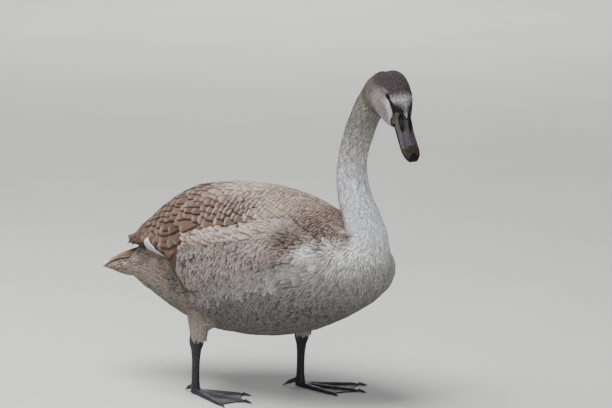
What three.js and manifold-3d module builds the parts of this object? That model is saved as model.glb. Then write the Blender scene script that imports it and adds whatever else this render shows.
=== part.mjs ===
// A young mute swan (first autumn), standing, life size, in millimetres.
// +X runs the way the body faces, +Y is the bird's left and +Z is up; the soles stand on Z = 0.
// The solids are the outer form of the plumage; thin cuts part the trunk, neck and head.
import * as THREE from "three";
import { mergeVertices } from "three/addons/utils/BufferGeometryUtils.js";
import Module from "manifold-3d";

const wasm = await Module();
wasm.setup();

const SEAM = 0.4; // gap left between pieces that meet
const FAR = 2000; // half size of a block that stands for half of space

// ---------------------------------------------------------------- driving dimensions

// The trunk's outer form by stations from the rump to the front of the breast:
// x, height of the back, height of the belly, half width, and the height where it is widest.
const TRUNK_STATIONS = [
  { x: -292, top: 245, bottom: 199, half: 20, level: 226 },
  { x: -265, top: 258, bottom: 188, half: 42, level: 228 },
  { x: -225, top: 288, bottom: 164, half: 63, level: 234 },
  { x: -170, top: 336, bottom: 138, half: 88, level: 243 },
  { x: -110, top: 378, bottom: 117, half: 116, level: 250 },
  { x: -45, top: 393, bottom: 110, half: 134, level: 256 },
  { x: 40, top: 390, bottom: 112, half: 138, level: 260 },
  { x: 115, top: 365, bottom: 129, half: 127, level: 260 },
  { x: 175, top: 334, bottom: 156, half: 107, level: 259 },
  { x: 222, top: 313, bottom: 184, half: 86, level: 257 },
  { x: 254, top: 295, bottom: 211, half: 60, level: 256 },
  { x: 269, top: 280, bottom: 234, half: 32, level: 257 },
  { x: 273, top: 268, bottom: 246, half: 14, level: 257 },
];
// How square a section is in its upper and its lower half; 2 is an ellipse.
const TRUNK_SQUARENESS = [2.15, 2.15];
const HEAD_SQUARENESS = [1.75, 2.5];
const BILL_SQUARENESS = [2.2, 2.2];
const TRUNK_RINGS = 23;
const TRUNK_SIDES = 24;

// The tail, from its root inside the rump to the tips of its feathers.
const TAIL_STATIONS = [
  { x: -354, top: 217.5, bottom: 211.5, half: 10, level: 214 },
  { x: -345, top: 220, bottom: 210, half: 26, level: 215 },
  { x: -322, top: 229, bottom: 205, half: 38, level: 217 },
  { x: -292, top: 246, bottom: 195, half: 41, level: 222 },
  { x: -255, top: 250, bottom: 200, half: 30, level: 226 },
];
const TAIL_RINGS = 10;
const TAIL_SIDES = 18;
const TAIL_SPLIT_X = -280;

// The neck's centre line from inside the breast to the nape, with the radius across and fore-and-aft.
const NECK_STATIONS = [
  { at: [205, 0, 232], across: 62, deep: 56 },
  { at: [220, 0, 275], across: 53, deep: 50 },
  { at: [222, 0, 312], across: 45, deep: 44 },
  { at: [213, 0, 350], across: 38, deep: 38 },
  { at: [200, 0, 384], across: 33.5, deep: 34.5 },
  { at: [192, 0, 420], across: 30.5, deep: 32 },
  { at: [193.5, -2, 458], across: 29, deep: 30 },
  { at: [204.5, -5, 497], across: 28, deep: 29.5 },
  { at: [220.5, -9, 535], across: 27.5, deep: 30.5 },
  { at: [241, -13, 569], across: 28.5, deep: 32 },
  { at: [261, -18, 595], across: 28, deep: 31 },
  { at: [280, -25, 608], across: 26, deep: 27 },
];
const NECK_RINGS = 21;
const NECK_SIDES = 18;
const NECK_TURNING = 0.45; // share of its length from which it turns the way the head does
const NECK_ROOT = { at: [215, 0, 331], direction: [0.45, 0, 1] }; // the cut between trunk and neck
const NECK_SPLIT = { at: [192, -1, 450], direction: [0.05, 0, 1] }; // the cut between its two lengths
const NAPE = { at: [249, -15, 574], direction: [0.78, -0.2, 0.6] }; // the cut between neck and head

// The head's own frame: origin midway between the eyes, x to the bill, y to the left, z to the crown.
const HEAD_AT = [309.6, -40, 588.9];
const HEAD_HEADING = -31.2; // degrees, turned to the bird's right
const HEAD_PITCH = -61.7; // degrees, bill down
const HEAD_ROLL = 1.6; // degrees, left eye down
const HEAD_STATIONS = [
  { x: -52, top: -2, bottom: -30, half: 10, level: -14 },
  { x: -46, top: 8.5, bottom: -48, half: 23, level: -16 },
  { x: -34, top: 17.5, bottom: -58, half: 31, level: -18 },
  { x: -14, top: 24, bottom: -63, half: 34.5, level: -20 },
  { x: 6, top: 22.5, bottom: -60, half: 33.5, level: -20 },
  { x: 24, top: 17, bottom: -52, half: 28, level: -18 },
  { x: 39, top: 10, bottom: -43, half: 21.5, level: -16 },
  { x: 50, top: 5.5, bottom: -34, half: 12, level: -14 },
];
const HEAD_RINGS = 14;
const HEAD_SIDES = 20;

const EYE_RADIUS = 6;
const EYE_AT = { x: 0, y: 23.4, z: 3 };
const EYE_FACES = [10, 7]; // round and from pole to pole

// The bill from under the feathering to the nail, in the head's frame.
const BILL_STATIONS = [
  { x: 28, top: 8, bottom: -14, half: 15.5, level: -9 },
  { x: 48, top: 5, bottom: -14, half: 17, level: -9 },
  { x: 66, top: 0, bottom: -14.5, half: 17.6, level: -10 },
  { x: 86, top: -2, bottom: -13, half: 18.6, level: -8.5 },
  { x: 104, top: -1.5, bottom: -11.5, half: 19, level: -7 },
  { x: 116, top: -2, bottom: -11, half: 15, level: -6.5 },
  { x: 123, top: -5, bottom: -11.5, half: 7.5, level: -8 },
];
const MANDIBLE_STATIONS = [
  { x: 28, top: -12, bottom: -27, half: 14, level: -18 },
  { x: 60, top: -11, bottom: -23, half: 14.5, level: -16.5 },
  { x: 84, top: -9, bottom: -19.5, half: 15.5, level: -14.5 },
  { x: 104, top: -7, bottom: -17, half: 14.5, level: -13 },
  { x: 114, top: -8, bottom: -15.5, half: 8, level: -12.5 },
];
const BILL_RINGS = 10;
const BILL_SIDES = 14;

// A folded wing, from the bend of the wing to its tips: the outer form that it follows, as for the
// trunk, the angles round that form of its lower and upper edge in degrees, and its thickness.
const WING_STATIONS = [
  { x: 206, top: 318, half: 99, level: 257, from: 22, to: 36, thick: 8 },
  { x: 188, top: 331, half: 113, level: 258, from: 14, to: 52, thick: 16 },
  { x: 150, top: 352, half: 132, level: 259, from: 9, to: 66, thick: 20 },
  { x: 95, top: 379, half: 147, level: 260, from: 1, to: 77, thick: 22 },
  { x: 25, top: 397, half: 154, level: 260, from: -12, to: 84, thick: 24 },
  { x: -45, top: 400, half: 151, level: 258, from: -20, to: 87, thick: 26 },
  { x: -82, top: 396, half: 147, level: 257, from: -22, to: 87, thick: 28 },
  { x: -98, top: 394, half: 144, level: 258, from: -9, to: 87, thick: 30 },
  { x: -140, top: 386, half: 127, level: 262, from: 2, to: 87, thick: 28 },
  { x: -185, top: 361, half: 101, level: 266, from: 3, to: 87, thick: 22 },
  { x: -225, top: 327, half: 76, level: 267, from: 4, to: 86, thick: 14 },
  { x: -258, top: 296, half: 52, level: 264, from: 6, to: 84, thick: 10 },
  { x: -282, top: 272, half: 33, level: 256, from: 12, to: 80, thick: 7 },
  { x: -291, top: 264, half: 24, level: 253, from: 22, to: 66, thick: 5 },
];
const WING_RINGS = 22;
const WING_ARC = 7; // faces across the wing
const WING_EDGE = 0.3; // thickness at its edges, as a share
const WING_SPLIT_X = -232; // the tips of the flight feathers begin here

// Legs: where each hock stands, and the height of the cuts above and below the bare shank.
const HOCK_AT = { right: [-99, -74, 102], left: [43, 74, 102] };
const SHANK_TOP = 117;
const SHANK_BOTTOM = 18;
// The feathered thigh as seen from its hock: place on its way up into the trunk, and radius.
const THIGH_STATIONS = [
  { at: [36, 12, 66], radius: 29 },
  { at: [20, 8, 44], radius: 25 },
  { at: [8, 3, 26], radius: 19 },
  { at: [2, 0, 12], radius: 14.5 },
];
const THIGH_SIDES = 12;
// The bare leg by height: half size fore-and-aft, half size across, and how far it stands forward.
const SHANK_STATIONS = [
  { z: 14, deep: 9.5, across: 8, forward: -3 },
  { z: 30, deep: 8, across: 6, forward: -3 },
  { z: 62, deep: 8.2, across: 6, forward: -2 },
  { z: 84, deep: 10.5, across: 8, forward: -1 },
  { z: 99, deep: 15.5, across: 11.5, forward: 0 },
  { z: 112, deep: 13.5, across: 11, forward: 0 },
  { z: 124, deep: 11, across: 9.5, forward: 1 },
];
const SHANK_RINGS = 9;
const SHANK_SIDES = 12;

// The foot: three webbed toes on the ground and a short hind toe. A positive turn is outward.
const TOES = [
  { name: "inner", turn: -25, length: 96, root: 7, tip: 4.8, joints: 2 },
  { name: "middle", turn: 1, length: 124, root: 7.6, tip: 5, joints: 3 },
  { name: "outer", turn: 27, length: 116, root: 7, tip: 4.8, joints: 4 },
];
const FOOT_TURN = 6; // degrees that the middle toe points outward
const TOE_HEIGHT = 11; // at the root
const TOE_RINGS = 8;
const TOE_SIDES = 6;
const TOE_THINNING = 0.6; // height at the tip as a share of that at the root
const TOE_SUNK = 0.85; // height of its centre line as a share of its half height
const TOE_ROUNDING = 0.88; // share of the length at which its end begins to round off
const KNUCKLE_SWELL = 0.1;
const HEEL = { top: 8, foot: 9.5, height: 18, level: 11, long: 1.1, wide: 0.9, sides: 10 };
const WEB_THICKNESS = 2.6;
const WEB_REACH = 0.95; // share of each toe that the web runs along
const WEB_NOTCH = 0.8; // how far out the web's edge stays between the toes
const WEB_START = -4; // behind the toes' common root
const WEB_FACES = 3; // along each of its curved edges
// The hind toe, with y towards the other foot, and its radius at shares of its length.
const HIND_TOE = { from: [-5, 0, 15], to: [-25, 7, 6] };
const HIND_TOE_STATIONS = [
  { share: 0, radius: 4.8 },
  { share: 0.35, radius: 4.4 },
  { share: 0.7, radius: 4.4 },
  { share: 0.93, radius: 3.7 },
  { share: 1, radius: 1.8 },
];
const CLAW = { length: 15, radius: 3.6, inside: 5, level: 3.6, tip: 6 }; // tipped down, in degrees
const HIND_CLAW = { length: 10, radius: 2.6, inside: 4, tip: 22 };
const CLAW_TAPER = 0.82;
const CLAW_DROOP = 0.9;
const CLAW_NARROWNESS = 0.8;
const CLAW_RINGS = 5;
const CLAW_SIDES = 6;

// ---------------------------------------------------------------- helpers

/** Catmull-Rom interpolation of a list of numbers at a place from 0 to its last index. */
function along(values, place) {
  const last = values.length - 1;
  const i = Math.min(Math.floor(place), last - 1);
  const t = place - i;
  const pick = (k) => values[Math.min(Math.max(k, 0), last)];
  const a = i === 0 ? 2 * values[0] - values[1] : pick(i - 1);
  const b = pick(i);
  const c = pick(i + 1);
  const d = i + 2 > last ? 2 * values[last] - values[last - 1] : pick(i + 2);
  const slopeB = (c - a) / 2;
  const slopeC = (d - b) / 2;
  const t2 = t * t;
  const t3 = t2 * t;
  const ahead = 3 * t2 - 2 * t3;
  return (1 - ahead) * b + ahead * c + (t3 - 2 * t2 + t) * slopeB + (t3 - t2) * slopeC;
}

/** A closed geometry from rings of points: neighbours are joined and both ends are capped by a fan. */
function skinOf(rings) {
  const sides = rings[0].length;
  const positions = [];
  for (const ring of rings) for (const p of ring) positions.push(p.x, p.y, p.z);
  const index = [];
  for (let r = 0; r + 1 < rings.length; r++) {
    for (let s = 0; s < sides; s++) {
      const a = r * sides + s;
      const b = r * sides + ((s + 1) % sides);
      index.push(a, b, a + sides, b, b + sides, a + sides);
    }
  }
  for (const [r, flip] of [[0, true], [rings.length - 1, false]]) {
    const centre = rings[r].reduce((sum, p) => sum.add(p), new THREE.Vector3()).divideScalar(sides);
    const hub = positions.length / 3;
    positions.push(centre.x, centre.y, centre.z);
    for (let s = 0; s < sides; s++) {
      const a = r * sides + s;
      const b = r * sides + ((s + 1) % sides);
      if (flip) index.push(hub, b, a);
      else index.push(hub, a, b);
    }
  }
  const geometry = new THREE.BufferGeometry();
  geometry.setAttribute("position", new THREE.Float32BufferAttribute(positions, 3));
  geometry.setIndex(index);
  return geometry;
}

/** A solid for cutting and joining; a geometry that came out inside out is turned round first. */
function solid(geometry) {
  const bare = geometry.clone();
  bare.deleteAttribute("normal");
  bare.deleteAttribute("uv");
  const merged = mergeVertices(bare, 1e-4);
  const vertProperties = new Float32Array(merged.attributes.position.array);
  const triVerts = new Uint32Array(merged.index.array);
  let volume = 0;
  const p = (i) => new THREE.Vector3().fromArray(vertProperties, 3 * i);
  for (let i = 0; i < triVerts.length; i += 3) {
    volume += p(triVerts[i]).dot(p(triVerts[i + 1]).cross(p(triVerts[i + 2])));
  }
  if (volume < 0) {
    for (let i = 0; i < triVerts.length; i += 3) {
      [triVerts[i + 1], triVerts[i + 2]] = [triVerts[i + 2], triVerts[i + 1]];
    }
  }
  return new wasm.Manifold(new wasm.Mesh({ numProp: 3, vertProperties, triVerts }));
}

/** The largest body of a solid, as a geometry. */
function geometryOf(shape) {
  const bodies = shape.decompose().sort((a, b) => b.volume() - a.volume());
  const mesh = bodies[0].getMesh();
  const geometry = new THREE.BufferGeometry();
  const xyz = new Float32Array(mesh.numVert * 3);
  for (let i = 0; i < mesh.numVert; i++) {
    xyz.set(mesh.vertProperties.subarray(i * mesh.numProp, i * mesh.numProp + 3), i * 3);
  }
  geometry.setAttribute("position", new THREE.BufferAttribute(xyz, 3));
  geometry.setIndex(new THREE.BufferAttribute(mesh.triVerts, 1));
  return geometry;
}

/** A block that begins at a point and fills everything beyond it along a direction. */
function halfSpace(point, direction) {
  const box = new THREE.BoxGeometry(FAR, FAR, FAR).translate(0, 0, FAR / 2);
  const turn = new THREE.Quaternion().setFromUnitVectors(
    new THREE.Vector3(0, 0, 1),
    new THREE.Vector3(...direction).normalize(),
  );
  return solid(box.applyQuaternion(turn).translate(...point));
}

/** The point at an angle round a section of given top, bottom, half width and widest level. */
function sectionPoint(form, angle, squareness, grow) {
  const cos = Math.cos(angle);
  const sin = Math.sin(angle);
  const power = 2 / squareness[sin > 0 ? 0 : 1];
  const reach = sin > 0 ? form.top - form.level : form.level - form.bottom;
  return [
    Math.sign(cos) * Math.abs(cos) ** power * (form.half + grow),
    form.level + Math.sign(sin) * Math.abs(sin) ** power * (reach + grow),
  ];
}

/** A body lofted along x through stations of top, bottom, half width and level, grown by a margin. */
function stationLoft(stations, rings, sides, squareness, grow = 0) {
  const made = [];
  const last = stations.length - 1;
  for (let r = 0; r < rings; r++) {
    const value = (key) => along(stations.map((s) => s[key]), (last * r) / (rings - 1));
    const form = { top: value("top"), bottom: value("bottom"), half: value("half"), level: value("level") };
    const lengthening = grow * ((2 * r) / (rings - 1) - 1) * Math.sign(stations[last].x - stations[0].x);
    const x = value("x") + lengthening;
    const ring = [];
    for (let s = 0; s < sides; s++) {
      const [y, z] = sectionPoint(form, (2 * Math.PI * s) / sides, squareness, grow);
      ring.push(new THREE.Vector3(x, y, z));
    }
    made.push(ring);
  }
  return skinOf(made);
}

/** An elliptical ring round a centre, across a tangent; its first axis lies as near as it can to left. */
function ringAcross(centre, tangent, left, across, deep, sides) {
  const side = left.clone().addScaledVector(tangent, -left.dot(tangent)).normalize();
  const front = new THREE.Vector3().crossVectors(side, tangent).normalize();
  const ring = [];
  for (let s = 0; s < sides; s++) {
    const angle = (2 * Math.PI * s) / sides;
    const point = centre.clone().addScaledVector(side, across * Math.cos(angle));
    ring.push(point.addScaledVector(front, deep * Math.sin(angle)));
  }
  return ring;
}

const group = new THREE.Group();

/** Adds a named mesh of one colour to a group. */
function add(parent, name, geometry, look) {
  const material = new THREE.MeshStandardMaterial(look);
  const mesh = new THREE.Mesh(geometry, material);
  mesh.name = name;
  parent.add(mesh);
  return mesh;
}

// ---------------------------------------------------------------- looks

const PALE_PLUMAGE = { color: 0xb9b3ac, roughness: 0.85, metalness: 0 };
const BROWN_PLUMAGE = { color: 0x9a887c, roughness: 0.85, metalness: 0 };
const HEAD_PLUMAGE = { color: 0x8f8583, roughness: 0.85, metalness: 0 };
const BILL_HORN = { color: 0x6b6370, roughness: 0.45, metalness: 0 };
const LEG_SKIN = { color: 0x34333b, roughness: 0.6, metalness: 0 };
const EYE_GLOSS = { color: 0x120d0b, roughness: 0.08, metalness: 0 };
const CLAW_HORN = { color: 0x1c1a1c, roughness: 0.4, metalness: 0 };

// ---------------------------------------------------------------- forms of the flesh

/** The trunk, grown by a margin. */
function trunkForm(grow) {
  return stationLoft(TRUNK_STATIONS, TRUNK_RINGS, TRUNK_SIDES, TRUNK_SQUARENESS, grow);
}

/** The tail, grown by a margin. */
function tailForm(grow) {
  return stationLoft(TAIL_STATIONS, TAIL_RINGS, TAIL_SIDES, TRUNK_SQUARENESS, grow);
}

/** The neck as a tube whose across direction turns smoothly from the trunk's to the head's. */
function neckForm(grow) {
  const curve = new THREE.CatmullRomCurve3(NECK_STATIONS.map((s) => new THREE.Vector3(...s.at)));
  const last = NECK_STATIONS.length - 1;
  const rings = [];
  for (let r = 0; r < NECK_RINGS; r++) {
    const t = r / (NECK_RINGS - 1);
    const turned = THREE.MathUtils.degToRad(HEAD_HEADING) * THREE.MathUtils.smoothstep(t, NECK_TURNING, 1);
    const left = new THREE.Vector3(-Math.sin(turned), Math.cos(turned), 0);
    const across = along(NECK_STATIONS.map((s) => s.across), t * last) + grow;
    const deep = along(NECK_STATIONS.map((s) => s.deep), t * last) + grow;
    rings.push(ringAcross(curve.getPoint(t), curve.getTangent(t), left, across, deep, NECK_SIDES));
  }
  return skinOf(rings);
}

const headPose = new THREE.Matrix4()
  .makeTranslation(...HEAD_AT)
  .multiply(new THREE.Matrix4().makeRotationZ(THREE.MathUtils.degToRad(HEAD_HEADING)))
  .multiply(new THREE.Matrix4().makeRotationY(THREE.MathUtils.degToRad(-HEAD_PITCH)))
  .multiply(new THREE.Matrix4().makeRotationX(THREE.MathUtils.degToRad(-HEAD_ROLL)));

/** A loft in the head's frame, carried to where the head is. */
function headLoft(stations, rings, sides, squareness, grow = 0) {
  return stationLoft(stations, rings, sides, squareness, grow).applyMatrix4(headPose);
}

/** The head without its bill, grown by a margin. */
function headForm(grow) {
  return headLoft(HEAD_STATIONS, HEAD_RINGS, HEAD_SIDES, HEAD_SQUARENESS, grow);
}

const flesh = solid(trunkForm(0)).add(solid(neckForm(0))).add(solid(headForm(0))).add(solid(tailForm(0)));

/** The part of a solid on the far side of a cut, half a seam from it. */
function beyond(shape, cut) {
  const direction = new THREE.Vector3(...cut.direction).normalize();
  const point = new THREE.Vector3(...cut.at).addScaledVector(direction, SEAM / 2);
  return shape.intersect(halfSpace(point.toArray(), direction.toArray()));
}

/** The part of a solid on the near side of a cut, half a seam from it. */
function before(shape, cut) {
  return beyond(shape, { at: cut.at, direction: cut.direction.map((d) => -d) });
}

// ---------------------------------------------------------------- trunk, tail, neck and head

const tailRoot = { at: [TAIL_SPLIT_X, 0, 0], direction: [-1, 0, 0] };
add(group, "trunk", geometryOf(before(before(flesh, NECK_ROOT), tailRoot)), PALE_PLUMAGE);
add(group, "tail", geometryOf(beyond(flesh, tailRoot)), BROWN_PLUMAGE);

const neckAndHead = beyond(flesh, NECK_ROOT);
const upperNeck = before(beyond(neckAndHead, NECK_SPLIT), NAPE);
add(group, "neck_lower", geometryOf(before(neckAndHead, NECK_SPLIT)), PALE_PLUMAGE);
add(group, "neck_upper", geometryOf(upperNeck), PALE_PLUMAGE);

const eyePlace = (sign) => new THREE.Vector3(EYE_AT.x, sign * EYE_AT.y, EYE_AT.z);
let skull = beyond(beyond(neckAndHead, NECK_SPLIT), NAPE);
for (const sign of [-1, 1]) {
  const socket = new THREE.SphereGeometry(EYE_RADIUS + SEAM, ...EYE_FACES).translate(...eyePlace(sign).toArray());
  skull = skull.subtract(solid(socket.applyMatrix4(headPose)));
}
add(group, "head", geometryOf(skull), HEAD_PLUMAGE);

// ---------------------------------------------------------------- bill and eyes

const upperBill = solid(headLoft(BILL_STATIONS, BILL_RINGS, BILL_SIDES, BILL_SQUARENESS));
const lowerBill = solid(headLoft(MANDIBLE_STATIONS, BILL_RINGS, BILL_SIDES, BILL_SQUARENESS));
const upperRoom = solid(headLoft(BILL_STATIONS, BILL_RINGS, BILL_SIDES, BILL_SQUARENESS, SEAM));
const headRoom = solid(headForm(SEAM));
add(group, "bill_upper", geometryOf(upperBill.subtract(headRoom)), BILL_HORN);
add(group, "bill_lower", geometryOf(lowerBill.subtract(upperRoom).subtract(headRoom)), BILL_HORN);

const head = new THREE.Group();
head.applyMatrix4(headPose);
group.add(head);
for (const [side, sign] of [["right", -1], ["left", 1]]) {
  const eye = add(head, `eye_${side}`, new THREE.SphereGeometry(EYE_RADIUS, ...EYE_FACES), EYE_GLOSS);
  eye.position.copy(eyePlace(sign));
}

// ---------------------------------------------------------------- wings

/** A folded wing: a shell that follows its outer form between its lower and upper edge. */
function wingForm(sign) {
  const last = WING_STATIONS.length - 1;
  const rings = [];
  for (let r = 0; r < WING_RINGS; r++) {
    const value = (key) => along(WING_STATIONS.map((s) => s[key]), (last * r) / (WING_RINGS - 1));
    const level = value("level");
    const form = { top: value("top"), bottom: 2 * level - value("top"), half: value("half"), level };
    const outer = [];
    const inner = [];
    for (let i = 0; i <= WING_ARC; i++) {
      const share = i / WING_ARC;
      const angle = THREE.MathUtils.degToRad(THREE.MathUtils.lerp(value("from"), value("to"), share));
      const depth = value("thick") * (WING_EDGE + (1 - WING_EDGE) * Math.sin(Math.PI * share));
      outer.push(sectionPoint(form, angle, TRUNK_SQUARENESS, 0));
      inner.unshift(sectionPoint(form, angle, TRUNK_SQUARENESS, -depth));
    }
    rings.push([...outer, ...inner].map(([y, z]) => new THREE.Vector3(value("x"), sign * y, z)));
  }
  return skinOf(rings);
}

const room = solid(trunkForm(SEAM)).add(solid(neckForm(SEAM))).add(solid(tailForm(SEAM)));
const wingSplit = { at: [WING_SPLIT_X, 0, 0], direction: [-1, 0, 0] };
for (const [side, sign] of [["right", -1], ["left", 1]]) {
  const wing = solid(wingForm(sign)).subtract(room);
  add(group, `wing_${side}`, geometryOf(before(wing, wingSplit)), BROWN_PLUMAGE);
  add(group, `wingtip_${side}`, geometryOf(beyond(wing, wingSplit)), BROWN_PLUMAGE);
}

// ---------------------------------------------------------------- legs

const UP = new THREE.Vector3(0, 0, 1);
const LEFT = new THREE.Vector3(0, 1, 0);
const FORWARD = new THREE.Vector3(1, 0, 0);

/** The feathered thigh of a side, from above its hock into the trunk. */
function thighForm(hock, sign) {
  const points = THIGH_STATIONS.map(({ at }) => new THREE.Vector3(at[0], -sign * at[1], at[2]));
  const curve = new THREE.CatmullRomCurve3(points);
  const last = THIGH_STATIONS.length - 1;
  const rings = [];
  for (let r = 0; r <= 2 * last; r++) {
    const t = r / (2 * last);
    const radius = along(THIGH_STATIONS.map((s) => s.radius), t * last);
    const centre = curve.getPoint(t).add(new THREE.Vector3(...hock));
    rings.push(ringAcross(centre, curve.getTangent(t), LEFT, radius, radius, THIGH_SIDES));
  }
  return skinOf(rings);
}

/** The bare shank with the hock at its top, round an upright line. */
function shankForm(hock) {
  const last = SHANK_STATIONS.length - 1;
  const rings = [];
  for (let r = 0; r < SHANK_RINGS; r++) {
    const value = (key) => along(SHANK_STATIONS.map((s) => s[key]), (last * r) / (SHANK_RINGS - 1));
    const centre = new THREE.Vector3(hock[0] + value("forward"), hock[1], value("z"));
    rings.push(ringAcross(centre, UP, LEFT, value("across"), value("deep"), SHANK_SIDES));
  }
  return skinOf(rings);
}

/** A toe along +x with its knuckles, its lower side sunk a little so that a flat sole can be cut. */
function toeForm(toe) {
  const rings = [];
  for (let r = 0; r < TOE_RINGS; r++) {
    const t = r / (TOE_RINGS - 1);
    const knuckle = 1 + KNUCKLE_SWELL * Math.cos(2 * Math.PI * toe.joints * t);
    const rounding = Math.max(0, (t - TOE_ROUNDING) / (1 - TOE_ROUNDING));
    const end = Math.sqrt(1 - (0.9 * rounding) ** 2);
    const across = THREE.MathUtils.lerp(toe.root, toe.tip, t) * knuckle * end;
    const deep = 0.5 * TOE_HEIGHT * THREE.MathUtils.lerp(1, TOE_THINNING, t) * end;
    const centre = new THREE.Vector3(toe.length * t, 0, deep * TOE_SUNK + 1 - end);
    rings.push(ringAcross(centre, FORWARD, LEFT, across, deep, TOE_SIDES));
  }
  return skinOf(rings);
}

/** A claw as a cone that curves down from its root to its tip, along +x. */
function clawForm(claw, grow) {
  const rings = [];
  for (let r = 0; r < CLAW_RINGS; r++) {
    const t = r / (CLAW_RINGS - 1);
    const radius = claw.radius * (1 - CLAW_TAPER * t ** 1.5) + grow;
    const x = t * (claw.length + claw.inside) - claw.inside + grow * (2 * t - 1);
    const centre = new THREE.Vector3(x, 0, -claw.radius * CLAW_DROOP * t ** 2);
    rings.push(ringAcross(centre, FORWARD, LEFT, radius * CLAW_NARROWNESS, radius, CLAW_SIDES));
  }
  return skinOf(rings);
}

/** The web between the toes, as a plate on the ground with its edge drawn in between them. */
function webForm(toes) {
  const shape = new THREE.Shape();
  const tips = toes.map((toe) => polar(toe.length * WEB_REACH, toe.turn));
  shape.moveTo(WEB_START, 0);
  shape.lineTo(...tips[0]);
  for (let i = 1; i < toes.length; i++) {
    const reach = ((toes[i - 1].length + toes[i].length) / 2) * WEB_NOTCH;
    const notch = polar(reach, (toes[i - 1].turn + toes[i].turn) / 2);
    shape.quadraticCurveTo(...notch, ...tips[i]);
  }
  shape.closePath();
  const plate = { depth: WEB_THICKNESS, bevelEnabled: false, curveSegments: WEB_FACES };
  return new THREE.ExtrudeGeometry(shape, plate);
}

/** The place at a distance along a direction turned from +x, in degrees. */
function polar(distance, turn) {
  const angle = THREE.MathUtils.degToRad(turn);
  return [distance * Math.cos(angle), distance * Math.sin(angle)];
}

const ground = halfSpace([0, 0, 0], [0, 0, -1]);

/** The pose of a claw whose root is at a place, turned in plan and tipped down. */
function clawPose(place, turn, tip) {
  const degrees = THREE.MathUtils.degToRad;
  return new THREE.Matrix4()
    .makeTranslation(...place)
    .multiply(new THREE.Matrix4().makeRotationZ(degrees(turn)))
    .multiply(new THREE.Matrix4().makeRotationY(degrees(tip)));
}

/** The foot of a side and its claws, in the bird's frame; the sign is that of y on its side. */
function makeFoot(hock, sign) {
  const toes = TOES.map((toe) => ({ ...toe, turn: sign * toe.turn }));
  const place = new THREE.Matrix4()
    .makeTranslation(hock[0] + SHANK_STATIONS[0].forward, hock[1], 0)
    .multiply(new THREE.Matrix4().makeRotationZ(THREE.MathUtils.degToRad(sign * FOOT_TURN)));
  let foot = solid(webForm(toes));
  const heel = new THREE.CylinderGeometry(HEEL.top, HEEL.foot, HEEL.height, HEEL.sides).rotateX(Math.PI / 2);
  foot = foot.add(solid(heel.scale(HEEL.long, HEEL.wide, 1).translate(0, 0, HEEL.level)));
  const claws = [];
  for (const toe of toes) {
    const turned = toeForm(toe).rotateZ(THREE.MathUtils.degToRad(toe.turn));
    foot = foot.add(solid(turned));
    const root = [...polar(toe.length - 1, toe.turn), CLAW.level];
    claws.push({ name: toe.name, claw: CLAW, pose: clawPose(root, toe.turn, CLAW.tip) });
  }
  const from = new THREE.Vector3(...HIND_TOE.from);
  const to = new THREE.Vector3(HIND_TOE.to[0], -sign * HIND_TOE.to[1], HIND_TOE.to[2]);
  const tangent = to.clone().sub(from).normalize();
  const hind = HIND_TOE_STATIONS.map(({ share, radius }) => {
    return ringAcross(from.clone().lerp(to, share), tangent, LEFT, radius, radius, TOE_SIDES);
  });
  foot = foot.add(solid(skinOf(hind)));
  const turn = THREE.MathUtils.radToDeg(Math.atan2(tangent.y, tangent.x));
  claws.push({ name: "hind", claw: HIND_CLAW, pose: clawPose(to.toArray(), turn, HIND_CLAW.tip) });
  foot = foot.subtract(ground);
  const made = [];
  for (const { name, claw, pose } of claws) {
    foot = foot.subtract(solid(clawForm(claw, SEAM).applyMatrix4(pose)));
    made.push({ name, form: solid(clawForm(claw, 0).applyMatrix4(pose)).subtract(ground) });
  }
  const carried = (shape) => geometryOf(shape).applyMatrix4(place);
  const clawsCarried = made.map(({ name, form }) => ({ name, geometry: carried(form) }));
  return { foot: carried(foot), claws: clawsCarried };
}

for (const [side, sign] of [["right", -1], ["left", 1]]) {
  const hock = HOCK_AT[side];
  const knee = { at: [0, 0, SHANK_TOP], direction: [0, 0, 1] };
  const sole = { at: [0, 0, SHANK_BOTTOM], direction: [0, 0, 1] };
  const thigh = beyond(solid(thighForm(hock, sign)).subtract(room), knee);
  add(group, `thigh_${side}`, geometryOf(thigh), PALE_PLUMAGE);
  const shank = beyond(before(solid(shankForm(hock)), knee), sole).subtract(room);
  add(group, `shank_${side}`, geometryOf(shank), LEG_SKIN);
  const { foot, claws } = makeFoot(hock, sign);
  add(group, `foot_${side}`, geometryOf(before(solid(foot), sole)), LEG_SKIN);
  for (const { name, geometry } of claws) {
    add(group, `claw_${side}_${name}`, geometry, CLAW_HORN);
  }
}

// The origin is on the ground, under the middle of the whole bird's box.
const middle = new THREE.Box3().setFromObject(group).getCenter(new THREE.Vector3());
group.position.set(-middle.x, -middle.y, 0);

export default group;
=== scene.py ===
"""A young mute swan in its first autumn, life size, standing: plumage, bill, eyes and legs.

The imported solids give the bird's outer form. One skin is drawn over all of its flesh, a little inside
that form, and vanes of solid mesh are laid on the skin from the bill towards the tail. Places on the
bird are measured in millimetres in the bird's own frame, whose origin is on the floor: +X is the way
the body faces, +Y is the bird's left and +Z is up.
"""
import logging
import math
from contextlib import contextmanager
from dataclasses import dataclass, field
from enum import Enum
from typing import Callable, Iterable, Iterator, Sequence

import bmesh
import bpy
import numpy as np
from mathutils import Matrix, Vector, noise
from mathutils.bvhtree import BVHTree


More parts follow.
